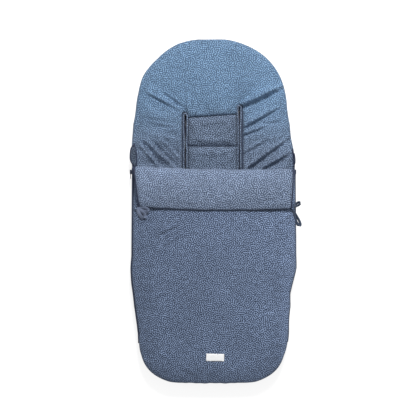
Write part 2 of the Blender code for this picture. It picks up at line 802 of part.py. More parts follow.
def slider_and_pull(name, side, cover_gap_y):
    """A slider that straddles the chain, with a pull on a pin beside it."""
    run = empty(f"{name}_slider_run", (side * SIDE_HALF, cover_gap_y, ZIP_MIDDLE_Z))
    clear = CHAIN_WIDTH / 2 + GAP
    face = CHAIN_MIDDLE - clear - SLIDER_PLATE
    tall = SLIDER_HEIGHT / 2
    web = SLIDER_WEB / 2
    lug_in = LUG_GAP / 2
    lug_out = LUG_GAP / 2 + LUG_THICK
    outwards = [
        (-face, -tall),
        (-face, -lug_out),
        (-face + LUG_REACH, -lug_out),
        (-face + LUG_REACH, -lug_in),
        (-face, -lug_in),
        (-face, lug_in),
        (-face + LUG_REACH, lug_in),
        (-face + LUG_REACH, lug_out),
        (-face, lug_out),
        (-face, tall),
        (-face - SLIDER_PLATE, tall),
        (-face - SLIDER_PLATE, web),
        (-CHAIN_MIDDLE - clear, web),
        (-CHAIN_MIDDLE - clear, tall),
        (-CHAIN_MIDDLE - clear - SLIDER_PLATE, tall),
        (-CHAIN_MIDDLE - clear - SLIDER_PLATE, -tall),
        (-CHAIN_MIDDLE - clear, -tall),
        (-CHAIN_MIDDLE - clear, -web),
        (-face - SLIDER_PLATE, -web),
        (-face - SLIDER_PLATE, -tall),
    ]
    profile = np.array(outwards)
    if side < 0:
        profile = profile[::-1] * (-1.0, 1.0)
    half = SLIDER_LENGTH / 2
    ends = (level(half), level(-half))
    slider = sheet_solid(f"{name}_slider", [profile], (), (), 0, *ends, SLIDER_NAVY, 0.4)
    slider.rotation_euler = (math.pi / 2, 0.0, 0.0)
    slider.parent = run

    pin_x = side * (SIDE_HALF - face + PULL_EYE + LAYER_GAP)
    pivot = empty(f"{name}_pull_pivot", (pin_x, cover_gap_y, ZIP_MIDDLE_Z), run)
    turn = np.linspace(0.0, math.tau, 2 * ARC_STEPS, endpoint=False)
    circle = np.c_[np.cos(turn), np.sin(turn)]
    pin_half = LUG_GAP / 2 - GAP
    ends = (level(pin_half), level(-pin_half))
    pin = sheet_solid(
        f"{name}_pull_pin", [PIN_RADIUS * circle], (), (), 0, *ends, SLIDER_NAVY, 0.4
    )
    pin.parent = pivot
    arc = np.linspace(-math.pi / 3, math.pi + math.pi / 3, 2 * ARC_STEPS)
    eye = PULL_EYE * np.c_[np.cos(arc), np.sin(arc)]
    tail = np.array([(-PULL_THICK / 2, -PULL_LENGTH), (PULL_THICK / 2, -PULL_LENGTH)])
    outer = np.r_[eye, tail]
    tall = PULL_HEIGHT / 2
    ends = (level(tall), level(-tall))
    pull = sheet_solid(
        f"{name}_pull", [outer, PULL_HOLE * circle], (), (), 0, *ends, SLIDER_NAVY, 0.4
    )
    pull.parent = pivot


def drape(points):
    """The cover's surface, carried on downwards outside the outline."""
    outside = np.where(inside([OUTLINE], points), 0.0, distance([OUTLINE], points))
    return cover_top(points) - DROOP_SHARE * outside


def bow_loop(name, knot, tip, carrier):
    """A loop of tape from the knot out to its tip and back, standing on edge."""
    reach = math.hypot(*tip)
    along = np.array(tip) / reach
    across = np.array((-along[1], along[0]))
    start = KNOT_RADIUS + GAP
    middle = reach * LOOP_MIDDLE_SHARE
    half = LOOP_WIDTH / 2
    shares = np.linspace(0.0, 1.0, ARC_STEPS, endpoint=False)
    swell = np.array([smooth(share) for share in shares])
    turn = np.linspace(0.0, math.pi / 2, ARC_STEPS, endpoint=False)
    branch = np.r_[start + (middle - start) * shares, middle + (reach - middle) * np.sin(turn)]
    spread = np.r_[LOOP_PINCH + (half - LOOP_PINCH) * swell, half * np.cos(turn)]
    out = np.r_[branch, reach, branch[::-1]]
    aside = np.r_[spread, 0.0, -spread[::-1]]
    path = knot + out[:, None] * along + aside[:, None] * across
    tangent = np.gradient(path, axis=0)
    tangent /= np.hypot(tangent[:, 0], tangent[:, 1])[:, None]
    normal = np.c_[-tangent[:, 1], tangent[:, 0]] * RIBBON_THICK / 2
    sides = (path - normal, path + normal)
    low = np.maximum(drape(sides[0]), drape(sides[1])) + COLLAR_GAP
    rows = []
    for i in range(len(path)):
        for edge, height in ((0, 0.0), (1, 0.0), (1, RIBBON_HEIGHT), (0, RIBBON_HEIGHT)):
            rows.append((*sides[edge][i], low[i] + height))
    faces = [(3, 2, 1, 0)]
    for i in range(len(path) - 1):
        for j in range(4):
            beside = (j + 1) % 4
            faces.append((4 * i + beside, 4 * i + 4 + beside, 4 * i + 4 + j, 4 * i + j))
    last = 4 * (len(path) - 1)
    faces.append((last, last + 1, last + 2, last + 3))
    ride(add_object(name, rows, faces, PRINT_BLUE), carrier)


def ellipsoid(radius, half_height):
    """Vertices and faces of a round, flattened knot."""
    around = 12
    up = 6
    vertices = [(0.0, 0.0, -half_height)]
    for row in range(1, up):
        angle = math.pi * row / up
        flat = radius * math.sin(angle)
        height = -half_height * math.cos(angle)
        for step in range(around):
            turn = math.tau * step / around
            vertices.append((flat * math.cos(turn), flat * math.sin(turn), height))
    vertices.append((0.0, 0.0, half_height))
    faces = []
    for step in range(around):
        after = (step + 1) % around
        faces.append((0, 1 + after, 1 + step))
        for row in range(up - 2):
            near = 1 + row * around
            far = near + around
            faces.append((near + step, near + after, far + after, far + step))
        last = 1 + (up - 2) * around
        faces.append((last + step, last + after, len(vertices) - 1))
    return vertices, faces


def bow_knot(name, knot, carrier):
    ball = add_object(f"{name}_knot", *ellipsoid(KNOT_RADIUS, RIBBON_HEIGHT / 2), PRINT_BLUE)
    turn = np.linspace(0.0, math.tau, 2 * ARC_STEPS, endpoint=False)
    middles = [drape(np.array([knot]))[0] + RIBBON_HEIGHT / 2]
    for share in KNOT_RING_SHARES:
        points = knot + KNOT_RADIUS * share * np.c_[np.cos(turn), np.sin(turn)]
        belly = RIBBON_HEIGHT / 2 * math.sqrt(1.0 - share**2)
        middles.append(drape(points).max() + belly)
    ball.location = (*knot, max(middles) + GAP)
    ride(ball, carrier)


def build():
    for old in list(bpy.data.objects):
        bpy.data.objects.remove(old, do_unlink=True)

    back_layers()
    head_and_wings()
    centre_channels()
    seat_panel()
    slot_edges("left_slot", -SLOT_X, SLOT_LOW_CENTRE_Y, SLOT_HIGH_CENTRE_Y)
    slot_edges("right_slot", SLOT_X, SLOT_LOW_CENTRE_Y, SLOT_HIGH_CENTRE_Y)
    slot_edges("crotch_slot", 0.0, CROTCH_LOW_CENTRE_Y, CROTCH_HIGH_CENTRE_Y)

    cover = empty("cover_hinge", (0.0, FOLD_Y, COVER_TOP_Z + GAP))
    fold = empty("collar_fold", (0.0, COLLAR_AXIS_Y, COVER_TOP_Z + COLLAR_GAP), cover)
    for made in apron("cover", FOLD_Y + GAP, COVER_TOP_Y, PANEL_PITCH):
        ride(made, cover)
    apron("toe", -LENGTH, FOLD_Y - GAP, PANEL_PITCH)
    label()
    collar(fold)

    toe_band()
    for name, side, ear in (("left", -1.0, LEFT_EAR_IN), ("right", 1.0, RIGHT_EAR_IN)):
        zip_halves(name, side, cover)
        zip_ear(name, side, ear)
        slider_and_pull(name, side, SLIDER_Y)

    left_knot = np.array((-KNOT_X, KNOT_Y))
    right_knot = np.array((KNOT_X, KNOT_Y))
    bow_knot("left_bow", left_knot, cover)
    bow_loop("left_bow_inner_loop", left_knot, LEFT_INNER_TIP, cover)
    bow_loop("left_bow_lower_loop", left_knot, LEFT_LOWER_TIP, cover)
    bow_knot("right_bow", right_knot, cover)
    bow_loop("right_bow_upper_loop", right_knot, RIGHT_UPPER_TIP, cover)
    bow_loop("right_bow_lower_loop", right_knot, RIGHT_LOWER_TIP, cover)


build()
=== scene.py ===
"""Looks of a stroller footmuff, lying zipped on a pale floor and seen from above.

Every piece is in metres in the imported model's frame: +Y to the head end, +Z up.
"""

import math

import bmesh
import bpy
import numpy as np
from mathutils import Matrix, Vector
from mathutils.bvhtree import BVHTree
from mathutils.geometry import delaunay_2d_cdt


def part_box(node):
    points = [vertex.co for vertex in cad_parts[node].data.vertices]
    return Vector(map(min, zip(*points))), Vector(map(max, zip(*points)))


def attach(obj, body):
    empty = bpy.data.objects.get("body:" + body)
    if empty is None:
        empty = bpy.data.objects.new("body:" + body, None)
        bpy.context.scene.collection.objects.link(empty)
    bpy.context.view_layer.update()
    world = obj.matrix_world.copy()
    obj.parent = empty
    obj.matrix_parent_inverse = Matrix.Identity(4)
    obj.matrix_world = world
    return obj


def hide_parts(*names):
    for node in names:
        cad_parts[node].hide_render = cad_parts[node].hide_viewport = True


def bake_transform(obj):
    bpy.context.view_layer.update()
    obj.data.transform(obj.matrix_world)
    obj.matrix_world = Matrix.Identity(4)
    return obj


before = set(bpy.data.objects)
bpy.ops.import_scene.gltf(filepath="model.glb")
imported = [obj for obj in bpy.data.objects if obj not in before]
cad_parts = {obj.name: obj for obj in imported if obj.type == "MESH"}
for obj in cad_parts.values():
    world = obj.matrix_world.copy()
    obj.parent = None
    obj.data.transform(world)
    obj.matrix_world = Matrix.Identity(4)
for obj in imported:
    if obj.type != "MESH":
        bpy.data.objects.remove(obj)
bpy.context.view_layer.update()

# The photograph's frame, and places read off it in pixels
IMAGE_SIDE = 416
METRES_PER_PIXEL = 0.00275
AXIS_PIXEL = (212.5, 210.75)

# Outline of the muff in plan
REAR_LOW, REAR_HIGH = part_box("rear_fabric")
LENGTH = REAR_HIGH.y - REAR_LOW.y
SIDE_HALF = REAR_HIGH.x
END_HALF = 0.209
HEAD_RUN = 0.2035
FOOT_RUN = 0.160
HEAD_TURN = 0.1415
FOOT_TURN = 0.175
HEAD_POWER = 2.2
FOOT_POWER = 3.0

# Heights of the layers
RIM_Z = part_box("head_and_wings_panel")[0].z
COVER_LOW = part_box("cover_lining")[0].z
COVER_RIM_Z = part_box("cover_fabric")[0].z
COVER_TOP_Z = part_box("cover_fabric")[1].z
REAR_ROUND = 0.024
REAR_RISE = 0.0155
COVER_ROUND = 0.045
ROUND_TALL = 0.0150
COVER_CROWN = 0.004
COLLAR_SAG = 0.0155

# Places along the muff
SPLIT_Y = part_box("head_and_wings_panel")[0].y
CHANNEL_TOP_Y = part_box("upper_channel")[1].y
COVER_TOP_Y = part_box("cover_fabric")[1].y
FOLD_Y = -0.365
COLLAR_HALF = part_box("collar_fabric")[1].x

# Slots
SLOT_X = 0.076
SLOT_HALF = 0.0025
SLOT_PANEL_HALF = 0.008
SLOT_LOW_Y = 0.0563
SLOT_HIGH_Y = 0.273
CROTCH_LOW_Y = -0.127
CROTCH_HIGH_Y = -0.033

# Half the gap between neighbouring panels
SEAM_GAP = 0.0003

# A panel's end that is wider than this to one side of the middle is cut square
SQUARE_END = 0.03

# Fineness of the cloth, and the frames that its simulation takes to settle
EDGE_STEP = 0.006
QUILT_PITCH = 0.0062
CHANNEL_PITCH = 0.0052
HIDDEN_PITCH = 0.0095
CLOTH_FRAMES = 20

# How many points are measured at a time, to spare memory
PORTION = 2000


# Plan lines


def at_pixel(x, y):
    """The place in plan that a pixel of the photograph shows."""
    return (x - AXIS_PIXEL[0]) * METRES_PER_PIXEL, (AXIS_PIXEL[1] - y) * METRES_PER_PIXEL


def smooth(share):
    """Goes from 0 to 1 as share does, level at both ends."""
    held = np.clip(share, 0.0, 1.0)
    return held * held * (3.0 - 2.0 * held)


def bell(away):
    """1 in the middle, and falling to 0 on both sides."""
    return math.exp(-(away**2))


def rounding(depth, reach):
    """A quarter round from 0 at the edge to 1 at reach."""
    share = np.clip(depth / reach, 0.0, 1.0)
    return np.sqrt(1.0 - (1.0 - share) ** 2)


def right_outline():
    """The right edge from the foot's tip to the head's, in close steps."""
    turn = np.linspace(math.pi / 2, 0.0, 240, endpoint=False)
    foot_y = FOOT_RUN - LENGTH / 2
    head_y = LENGTH / 2 - HEAD_RUN
    foot = np.c_[
        END_HALF * np.cos(turn) ** (2 / FOOT_POWER),
        foot_y - FOOT_RUN * np.sin(turn) ** (2 / FOOT_POWER),
    ]
    y = np.linspace(foot_y, head_y, 240, endpoint=False)
    swell = smooth((head_y - y) / HEAD_TURN) * smooth((y - foot_y) / FOOT_TURN)
    side = np.c_[END_HALF + (SIDE_HALF - END_HALF) * swell, y]
    turn = np.linspace(0.0, math.pi / 2, 241)
    head = np.c_[
        END_HALF * np.maximum(np.cos(turn), 0.0) ** (2 / HEAD_POWER),
        head_y + HEAD_RUN * np.sin(turn) ** (2 / HEAD_POWER),
    ]
    points = np.r_[foot, side, head]
    points[0] = (0.0, -LENGTH / 2)
    points[-1] = (0.0, LENGTH / 2)
    return points


def arc(x, y, radius, turn):
    """Points round a centre. A negative radius gives the opposite points."""
    return np.c_[x + radius * np.cos(turn), y + radius * np.sin(turn)]


def run_of(line):
    """The length of a plan line up to each of its points."""
    return np.r_[0.0, np.cumsum(np.hypot(*np.diff(line, axis=0).T))]


def resample(points, step):
    """The same line, with its points evenly spaced."""
    lengths = run_of(points)
    count = max(1, math.ceil(lengths[-1] / step))
    at = np.linspace(0.0, lengths[-1], count + 1)
    return np.c_[[np.interp(at, lengths, column) for column in points.T]].T


def inward_normals(loop):
    """At each point, the unit direction to the left of the loop's run."""
    along = np.roll(loop, -1, axis=0) - np.roll(loop, 1, axis=0)
    along /= np.hypot(along[:, 0], along[:, 1])[:, None]
    return np.c_[-along[:, 1], along[:, 0]]


# How far the cloth stands out past the plain outline, by the photograph's row, left and right
EDGE_SWELL = (
    (38, 0.0025, 0.0015), (44, 0.0040, 0.0000), (58, 0.0010, 0.0005), (76, 0.0050, 0.0000),
    (92, 0.0020, -0.0015), (108, 0.0035, -0.0015), (124, 0.0085, 0.0035), (138, 0.0050, 0.0005),
    (150, 0.0010, 0.0020), (172, -0.0045, 0.0025), (200, -0.0040, 0.0030), (256, -0.0030, 0.0045),
    (268, 0.0000, 0.0055), (284, 0.0020, -0.0010), (294, 0.0020, -0.0035), (306, 0.0030, 0.0020),
    (318, 0.0015, 0.0015), (334, -0.0035, 0.0015), (356, -0.0020, -0.0012), (372, 0.0052, 0.0052),
    (380, 0.0075, 0.0075), (384, 0.0016, 0.0016),
)


def swelled(outline):
    """The outline with the photograph's small swellings, each side its own."""
    rows, left, right = np.array(EDGE_SWELL).T
    ys = (AXIS_PIXEL[1] - rows)[::-1] * METRES_PER_PIXEL
    on_left = np.interp(outline[:, 1], ys, left[::-1])
    on_right = np.interp(outline[:, 1], ys, right[::-1])
    share = smooth(outline[:, 0] / 0.08 * 0.5 + 0.5)
    out = on_left * (1.0 - share) + on_right * share
    return outline - inward_normals(outline) * out[:, None]


PLAIN_EDGE = resample(right_outline(), EDGE_STEP)
OUTLINE = swelled(np.r_[PLAIN_EDGE, PLAIN_EDGE[-2:0:-1] * (-1.0, 1.0)])
OUTLINE_NORMALS = inward_normals(OUTLINE)
HEAD_TIP = len(PLAIN_EDGE) - 1


def distance(lines, points):
    """How far each point is from the nearest of the closed lines."""
    nearest = np.full(len(points), np.inf)
    for line in lines:
        start = np.asarray(line)
        run = np.roll(start, -1, axis=0) - start
        squares = np.maximum((run * run).sum(axis=1), 1e-16)
        for first in range(0, len(points), PORTION):
            part = points[first : first + PORTION]
            away = part[:, None, :] - start[None, :, :]
            share = np.clip((away * run).sum(axis=2) / squares, 0.0, 1.0)
            gap = away - share[:, :, None] * run
            found = np.sqrt((gap * gap).sum(axis=2)).min(axis=1)
            nearest[first : first + PORTION] = np.minimum(nearest[first : first + PORTION], found)
    return nearest


def inside(loops, points):
    """Whether each point is inside the first loop and outside the others."""
    crossings = np.zeros(len(points), int)
    for loop in loops:
        start = np.asarray(loop)
        end = np.roll(start, -1, axis=0)
        x, y = points[:, 0, None], points[:, 1, None]
        spans = (start[:, 1] > y) != (end[:, 1] > y)
        rise = np.where(end[:, 1] == start[:, 1], 1.0, end[:, 1] - start[:, 1])
        meets = start[:, 0] + (y - start[:, 1]) * (end[:, 0] - start[:, 0]) / rise
        crossings += (spans & (x < meets)).sum(axis=1)
    return crossings % 2 == 1


def side_run(side, inset, low, high):
    """One side's edge from foot to head, set in by inset, between two heights of y."""
    edge = OUTLINE + inset * OUTLINE_NORMALS
    if side > 0:
        edge = edge[: HEAD_TIP + 1]
    else:
        edge = np.r_[edge[:1], edge[: HEAD_TIP - 1 : -1]]
    kept = [edge[(edge[:, 1] > low + 0.001) & (edge[:, 1] < high - 0.001)]]
    if low > edge[0, 1]:
        kept.insert(0, [(np.interp(low, edge[:, 1], edge[:, 0]), low)])
    if high < edge[-1, 1]:
        kept.append([(np.interp(high, edge[:, 1], edge[:, 0]), high)])
    return np.concatenate(kept)


def crossing(start, end, step=EDGE_STEP):
    """Points strictly between two ends, about a step apart."""
    count = max(1, math.ceil(math.dist(start, end) / step))
    return np.linspace(start, end, count + 1)[1:-1]


def panel_loop(inset, low, high):
    """The outline set in by inset and cut off square at low and at high."""
    right = side_run(1.0, inset, low, high)
    left = side_run(-1.0, inset, low, high)[::-1]
    if abs(right[-1, 0]) > SQUARE_END:
        loop = np.r_[right, crossing(right[-1], left[0]), left]
    else:
        loop = np.r_[right, left[1:]]
    if abs(right[0, 0]) > SQUARE_END:
        return np.r_[loop, crossing(left[-1], right[0])]
    return loop[:-1]


def joined(*parts, closed=False):
    """The parts one after the other, with points between them about a step apart."""
    parts = [np.atleast_2d(part) for part in parts]
    points = [parts[0]]
    for before, after in zip(parts, parts[1:]):
        points += [crossing(before[-1], after[0]), after]
    if closed:
        points.append(crossing(parts[-1][-1], parts[0][0]))
    return np.concatenate(points)


def stadium(x, low, high, half):
    """A long slot's loop, with round ends about two centres."""
    turn = np.linspace(0.0, math.pi, 9)
    return joined(arc(x, high, half, turn), arc(x, low, -half, turn), closed=True)


def along_loop(loop, step=EDGE_STEP):
    """The loop with points about a step apart between its corners."""
    points = []
    for start, end in zip(loop, np.roll(loop, -1, axis=0)):
        points.append([start])
        points.append(crossing(start, end, step))
    return np.concatenate(points)


def lattice(loops, lines, pitch):
    """Staggered points that fill the loops, clear of every line."""
    low, high = loops[0].min(axis=0), loops[0].max(axis=0)
    rows = np.arange(math.floor(low[1] / pitch), math.ceil(high[1] / pitch) + 1)
    columns = np.arange(math.floor(low[0] / pitch), math.ceil(high[0] / pitch) + 1)
    across, along = np.meshgrid(columns, rows)
    points = np.c_[((across + along % 2 / 2) * pitch).ravel(), (along * pitch).ravel()]
    points = points[inside(loops, points)]
    return points[distance(lines, points) > pitch * 0.55]


# Meshes


def linked(name, data):
    """A new object in the scene."""
    piece = bpy.data.objects.new(name, data)
    bpy.context.scene.collection.objects.link(piece)
    return piece


def new_object(name, vertices, faces, *materials):
    mesh = bpy.data.meshes.new(name)
    mesh.from_pydata([tuple(v) for v in vertices], [], faces)
    mesh.validate()
    mesh.shade_smooth()
    for made in materials:
        mesh.materials.append(made)
    return linked(name, mesh)


def read(items, key, width=3, kind=float):
    """One row for each of a mesh's items."""
    found = np.empty(len(items) * width, kind)
    items.foreach_get(key, found)
    return found.reshape(-1, width)


def positions(piece):
    return read(piece.data.vertices, "co")


def facing(piece):
    return read(piece.data.vertices, "normal")


def move_to(piece, places):
    piece.data.vertices.foreach_set("co", np.ascontiguousarray(places, dtype=float).ravel())
    piece.data.update()


def quilt(name, loops, pitch, top, bottom, *materials, lines=()):
    """A closed pad over the loops' area. Its top points come first, then its bottom ones."""
    wound = [np.asarray(loops[0])] + [np.asarray(loop)[::-1] for loop in loops[1:]]
    lines = [*wound, *lines]
    corners = np.concatenate(lines)
    edges = []
    first = 0
    for line in lines:
        count = len(line)
        edges += [(first + i, first + (i + 1) % count) for i in range(count)]
        first += count
    filled = np.r_[corners, lattice(wound, lines, pitch)]
    flat, _, faces, *_ = delaunay_2d_cdt([Vector(p) for p in filled], edges, [], 0, 1e-6)
    flat = np.array([tuple(p) for p in flat])
    faces = np.array([tuple(f) for f in faces])
    faces = faces[inside(wound, flat[faces].mean(axis=1))]
    a, b, c = flat[faces].transpose(1, 0, 2)
    turn = np.cross(b - a, c - a)
    faces[turn < 0] = faces[turn < 0][:, ::-1]
    used = np.unique(faces)
    renumber = np.full(len(flat), -1)
    renumber[used] = np.arange(len(used))
    flat, faces = flat[used], renumber[faces].tolist()
    count = len(flat)
    directed = {tuple(e) for f in faces for e in zip(f, f[1:] + f[:1])}
    rim = sorted(edge for edge in directed if edge[::-1] not in directed)
    walls = [(a, a + count, b + count, b) for a, b in rim]
    under = [[i + count for i in f[::-1]] for f in faces]
    vertices = np.r_[np.c_[flat, top(flat)], np.c_[flat, bottom(flat)]]
    piece = new_object(name, vertices, faces + under + walls, *materials)
    held = np.zeros(2 * count)
    held[count:] = 1.0
    held[np.unique(rim)] = 1.0
    return piece, held


def inflate(piece, held, pressure, slack, cap):
    """Blows the pad up as cloth that is held along its seams, each point by cap at most."""
    group = piece.vertex_groups.new(name="held")
    for index in np.flatnonzero(held > 0.0):
        group.add([int(index)], float(held[index]), "REPLACE")
    cloth = piece.modifiers.new("cloth", "CLOTH")
    cloth.settings.vertex_group_mass = "held"
    cloth.settings.use_pressure = True
    cloth.settings.uniform_pressure_force = pressure
    cloth.settings.shrink_min = -slack
    cloth.settings.quality = 4
    cloth.settings.effector_weights.gravity = 0.0
    cloth.collision_settings.use_collision = False
    scene = bpy.context.scene
    for number in range(1, CLOTH_FRAMES + 1):
        scene.frame_set(number)
    found = positions(piece.evaluated_get(bpy.context.evaluated_depsgraph_get()))
    piece.modifiers.remove(cloth)
    scene.frame_set(1)
    rest = positions(piece)
    moved = found - rest
    reach = np.linalg.norm(moved, axis=1)
    share = np.where(reach > 0.0, cap * np.tanh(reach / cap) / np.maximum(reach, 1e-9), 0.0)
    move_to(piece, rest + moved * share[:, None])


def subdivide(piece):
    """Adds one level of subdivision to the piece's own mesh."""
    modifier = piece.modifiers.new("subdivision", "SUBSURF")
    modifier.levels = modifier.render_levels = 1
    modifier.boundary_smooth = "PRESERVE_CORNERS"
    graph = bpy.context.evaluated_depsgraph_get()
    mesh = bpy.data.meshes.new_from_object(piece.evaluated_get(graph))
    piece.modifiers.remove(modifier)
    old = piece.data
    piece.data = mesh
    mesh.name = piece.name
    bpy.data.meshes.remove(old)
    mesh.shade_smooth()


# Materials


def node(tree, kind, **settings):
    made = tree.nodes.new(kind)
    for name, value in settings.items():
        setattr(made, name, value)
    return made


def fill(made, **values):
    for name, value in values.items():
        made.inputs[name.replace("_", " ")].default_value = value
    return made


def new_material(name, roughness, sheen=0.0, sheen_tint=(1.0, 1.0, 1.0)):
    made = bpy.data.materials.new(name)
    made.use_nodes = True
    tree = made.node_tree
    shader = tree.nodes["Principled BSDF"]
    shader.inputs["Roughness"].default_value = roughness
    shader.inputs["Specular IOR Level"].default_value = 0.25
    shader.inputs["Sheen Weight"].default_value = sheen
    shader.inputs["Sheen Roughness"].default_value = 0.6
    shader.inputs["Sheen Tint"].default_value = (*sheen_tint, 1.0)
    return made, tree, shader


def feed(tree, made, values):
    """Links or sets each numbered input."""
    for socket, value in values:
        if isinstance(value, bpy.types.NodeSocket):
            tree.links.new(value, made.inputs[socket])
        else:
            made.inputs[socket].default_value = value


def colour_mix(tree, kind, share, first, second):
    made = node(tree, "ShaderNodeMix", data_type="RGBA", blend_type=kind)
    feed(tree, made, ((0, share), (6, first), (7, second)))
    return made.outputs[2]


def ranged(tree, value, low, high, to_low, to_high, smoothed=True):
    made = node(tree, "ShaderNodeMapRange", clamp=True)
    made.interpolation_type = "SMOOTHSTEP" if smoothed else "LINEAR"
    tree.links.new(value, made.inputs["Value"])
    fill(made, From_Min=low, From_Max=high, To_Min=to_low, To_Max=to_high)
    return made.outputs["Result"]


def calculated(tree, operation, first, second):
    made = node(tree, "ShaderNodeMath", operation=operation)
    feed(tree, made, enumerate((first, second)))
    return made.outputs[0]


def weave_height(tree, place, pitch):
    """Plain weave: threads over and under, a pitch apart."""
    bands = []
    for direction in "XY":
        wave = node(tree, "ShaderNodeTexWave", wave_type="BANDS", bands_direction=direction)
        tree.links.new(place, wave.inputs["Vector"])
        fill(wave, Scale=0.314 / pitch, Distortion=0.6, Detail=1.0, Detail_Scale=2.0)
        bands.append(wave.outputs["Fac"])
    return calculated(tree, "MAXIMUM", *bands)


def noise(tree, place, scale, detail, roughness):
    made = node(tree, "ShaderNodeTexNoise")
    tree.links.new(place, made.inputs["Vector"])
    fill(made, Scale=scale, Detail=detail, Roughness=roughness)
    return made.outputs["Fac"]


def shaded(tree, colour, share):
    """The colour times a grey share."""
    grey = node(tree, "ShaderNodeCombineColor")
    for channel in ("Red", "Green", "Blue"):
        tree.links.new(share, grey.inputs[channel])
    return colour_mix(tree, "MULTIPLY", 1.0, colour, grey.outputs["Color"])


def finished(tree, shader, colour, rough, heights):
    """Links colour and roughness, and chains one bump per height, each with its depth in metres."""
    tree.links.new(colour, shader.inputs["Base Color"])
    tree.links.new(rough, shader.inputs["Roughness"])
    normal = None
    for height, depth in heights:
        bump = node(tree, "ShaderNodeBump")
        fill(bump, Strength=1.0, Distance=depth)
        tree.links.new(height, bump.inputs["Height"])
        if normal is not None:
            tree.links.new(normal, bump.inputs["Normal"])
        normal = bump.outputs["Normal"]
    tree.links.new(normal, shader.inputs["Normal"])


# The print: its cells to the metre, where a stroke begins and is full, the bands of x of the
# painted side light (darker to paler) and of the painted highlight on the right rim, and the
# weave's pitch
PRINT_CELLS = 95.0
STROKE_EDGE = (0.43, 0.62)
SIDE_LIGHT_BAND = (-0.2, 0.2)
RIM_HIGHLIGHT_BAND = (0.178, 0.202)
COTTON_PITCH = 0.0009


def printed_cotton(name, frequency, ground, stroke, far=None, fade=(0.0, 1.0), side_light=0.0, edge=0.0):
    """Cotton printed with a fine maze of pale strokes.

    It may pass to a far ground and stroke along y. It may also carry painted light: side light that
    runs from darker to paler along x, and a painted highlight that makes the right edge paler.
    """
    made, tree, shader = new_material(name, 0.88, 0.12, (0.75, 0.82, 0.95))
    place = node(tree, "ShaderNodeAttribute", attribute_name="cloth").outputs["Vector"]
    gabor = node(tree, "ShaderNodeTexGabor", gabor_type="2D")
    tree.links.new(place, gabor.inputs["Vector"])
    fill(gabor, Scale=PRINT_CELLS, Frequency=frequency, Anisotropy=0.0)
    strokes = ranged(tree, gabor.outputs["Value"], *STROKE_EDGE, 0.0, 1.0)
    broad = noise(tree, place, 9.0, 3.0, 0.55)
    mottle = noise(tree, place, 120.0, 3.0, 0.9)
    fine = noise(tree, place, 480.0, 2.0, 0.7)
    split = node(tree, "ShaderNodeSeparateXYZ")
    tree.links.new(place, split.inputs[0])
    colours = [(*ground, 1.0), (*stroke, 1.0)]
    if far is not None:
        along = ranged(tree, split.outputs["Y"], *fade, 0.0, 1.0)
        colours = [
            colour_mix(tree, "MIX", along, (*away, 1.0), near) for away, near in zip(far, colours)
        ]
    colour = colour_mix(tree, "MIX", strokes, *colours)
    wash = ranged(tree, broad, 0.3, 0.7, 0.93, 1.07)
    # Painted side light: darker to the left, paler to the right.
    if side_light:
        ends = 1.0 - side_light, 1.0 + side_light
        sideways = ranged(tree, split.outputs["X"], *SIDE_LIGHT_BAND, *ends, smoothed=False)
        wash = calculated(tree, "MULTIPLY", wash, sideways)
    # Painted highlight along the right rim.
    if edge:
        rim = ranged(tree, split.outputs["X"], *RIM_HIGHLIGHT_BAND, 1.0, 1.0 + edge)
        wash = calculated(tree, "MULTIPLY", wash, rim)
    clumps = ranged(tree, mottle, 0.3, 0.7, 0.70, 1.30)
    speck = ranged(tree, fine, 0.3, 0.7, 0.74, 1.26)
    both = calculated(tree, "MULTIPLY", calculated(tree, "MULTIPLY", wash, clumps), speck)
    colour = shaded(tree, colour, both)
    rough = ranged(tree, fine, 0.2, 0.8, 0.82, 0.95)
    weave = weave_height(tree, place, COTTON_PITCH)
    heights = ((weave, 0.00006), (strokes, 0.00012), (broad, 0.0008))
    finished(tree, shader, colour, rough, heights)
    return made


def plain_cloth(name, colour, pale, pitch, roughness=0.85, sheen=0.15, swing=0.10):
    """Woven cloth in one colour, with paler thread tops and a little unevenness."""
    made, tree, shader = new_material(name, roughness, sheen)
    place = node(tree, "ShaderNodeTexCoord").outputs["Object"]
    weave = weave_height(tree, place, pitch)
    threads = ranged(tree, weave, 0.2, 1.0, 0.0, 1.0)
    uneven = noise(tree, place, 35.0, 4.0, 0.6)
    base = colour_mix(tree, "MIX", threads, (*colour, 1.0), (*pale, 1.0))
    base = shaded(tree, base, ranged(tree, uneven, 0.3, 0.7, 1.0 - swing, 1.0 + swing))
    rough = ranged(tree, uneven, 0.2, 0.8, roughness - 0.06, roughness + 0.06)
    finished(tree, shader, base, rough, ((weave, pitch * 0.12), (uneven, 0.0006)))
    return made


def enamel(name, colour, worn):
    """Painted metal with paler worn spots."""
    made, tree, shader = new_material(name, 0.42)
    shader.inputs["Coat Weight"].default_value = 0.3
    place = node(tree, "ShaderNodeTexCoord").outputs["Object"]
    wear = noise(tree, place, 260.0, 5.0, 0.65)
    spots = ranged(tree, wear, 0.58, 0.72, 0.0, 1.0)
    base = colour_mix(tree, "MIX", spots, (*colour, 1.0), (*worn, 1.0))
    rough = ranged(tree, wear, 0.2, 0.8, 0.34, 0.52)
    finished(tree, shader, base, rough, ((wear, 0.00008),))
    return made


# The head's far colours, toward the collar, are darker and greyer: partly the cloth's own tone,
# partly painted shade.
HEAD_COTTON = printed_cotton(
    "head_cotton",
    2.0,
    (0.048, 0.090, 0.163),
    (0.212, 0.340, 0.500),
    far=((0.050, 0.069, 0.114), (0.196, 0.261, 0.368)),
    fade=(0.13, 0.33),
    side_light=0.04,
)
SEAT_COTTON = printed_cotton("seat_cotton", 2.0, (0.028, 0.042, 0.073), (0.202, 0.266, 0.378))
# The cover carries painted side light, and a painted highlight along its right rim.
COVER_COTTON = printed_cotton(
    "cover_cotton", 2.15, (0.016, 0.028, 0.062), (0.240, 0.316, 0.470), side_light=0.08, edge=0.17
)
COLLAR_COTTON = printed_cotton("collar_cotton", 2.05, (0.050, 0.074, 0.130), (0.290, 0.365, 0.505))
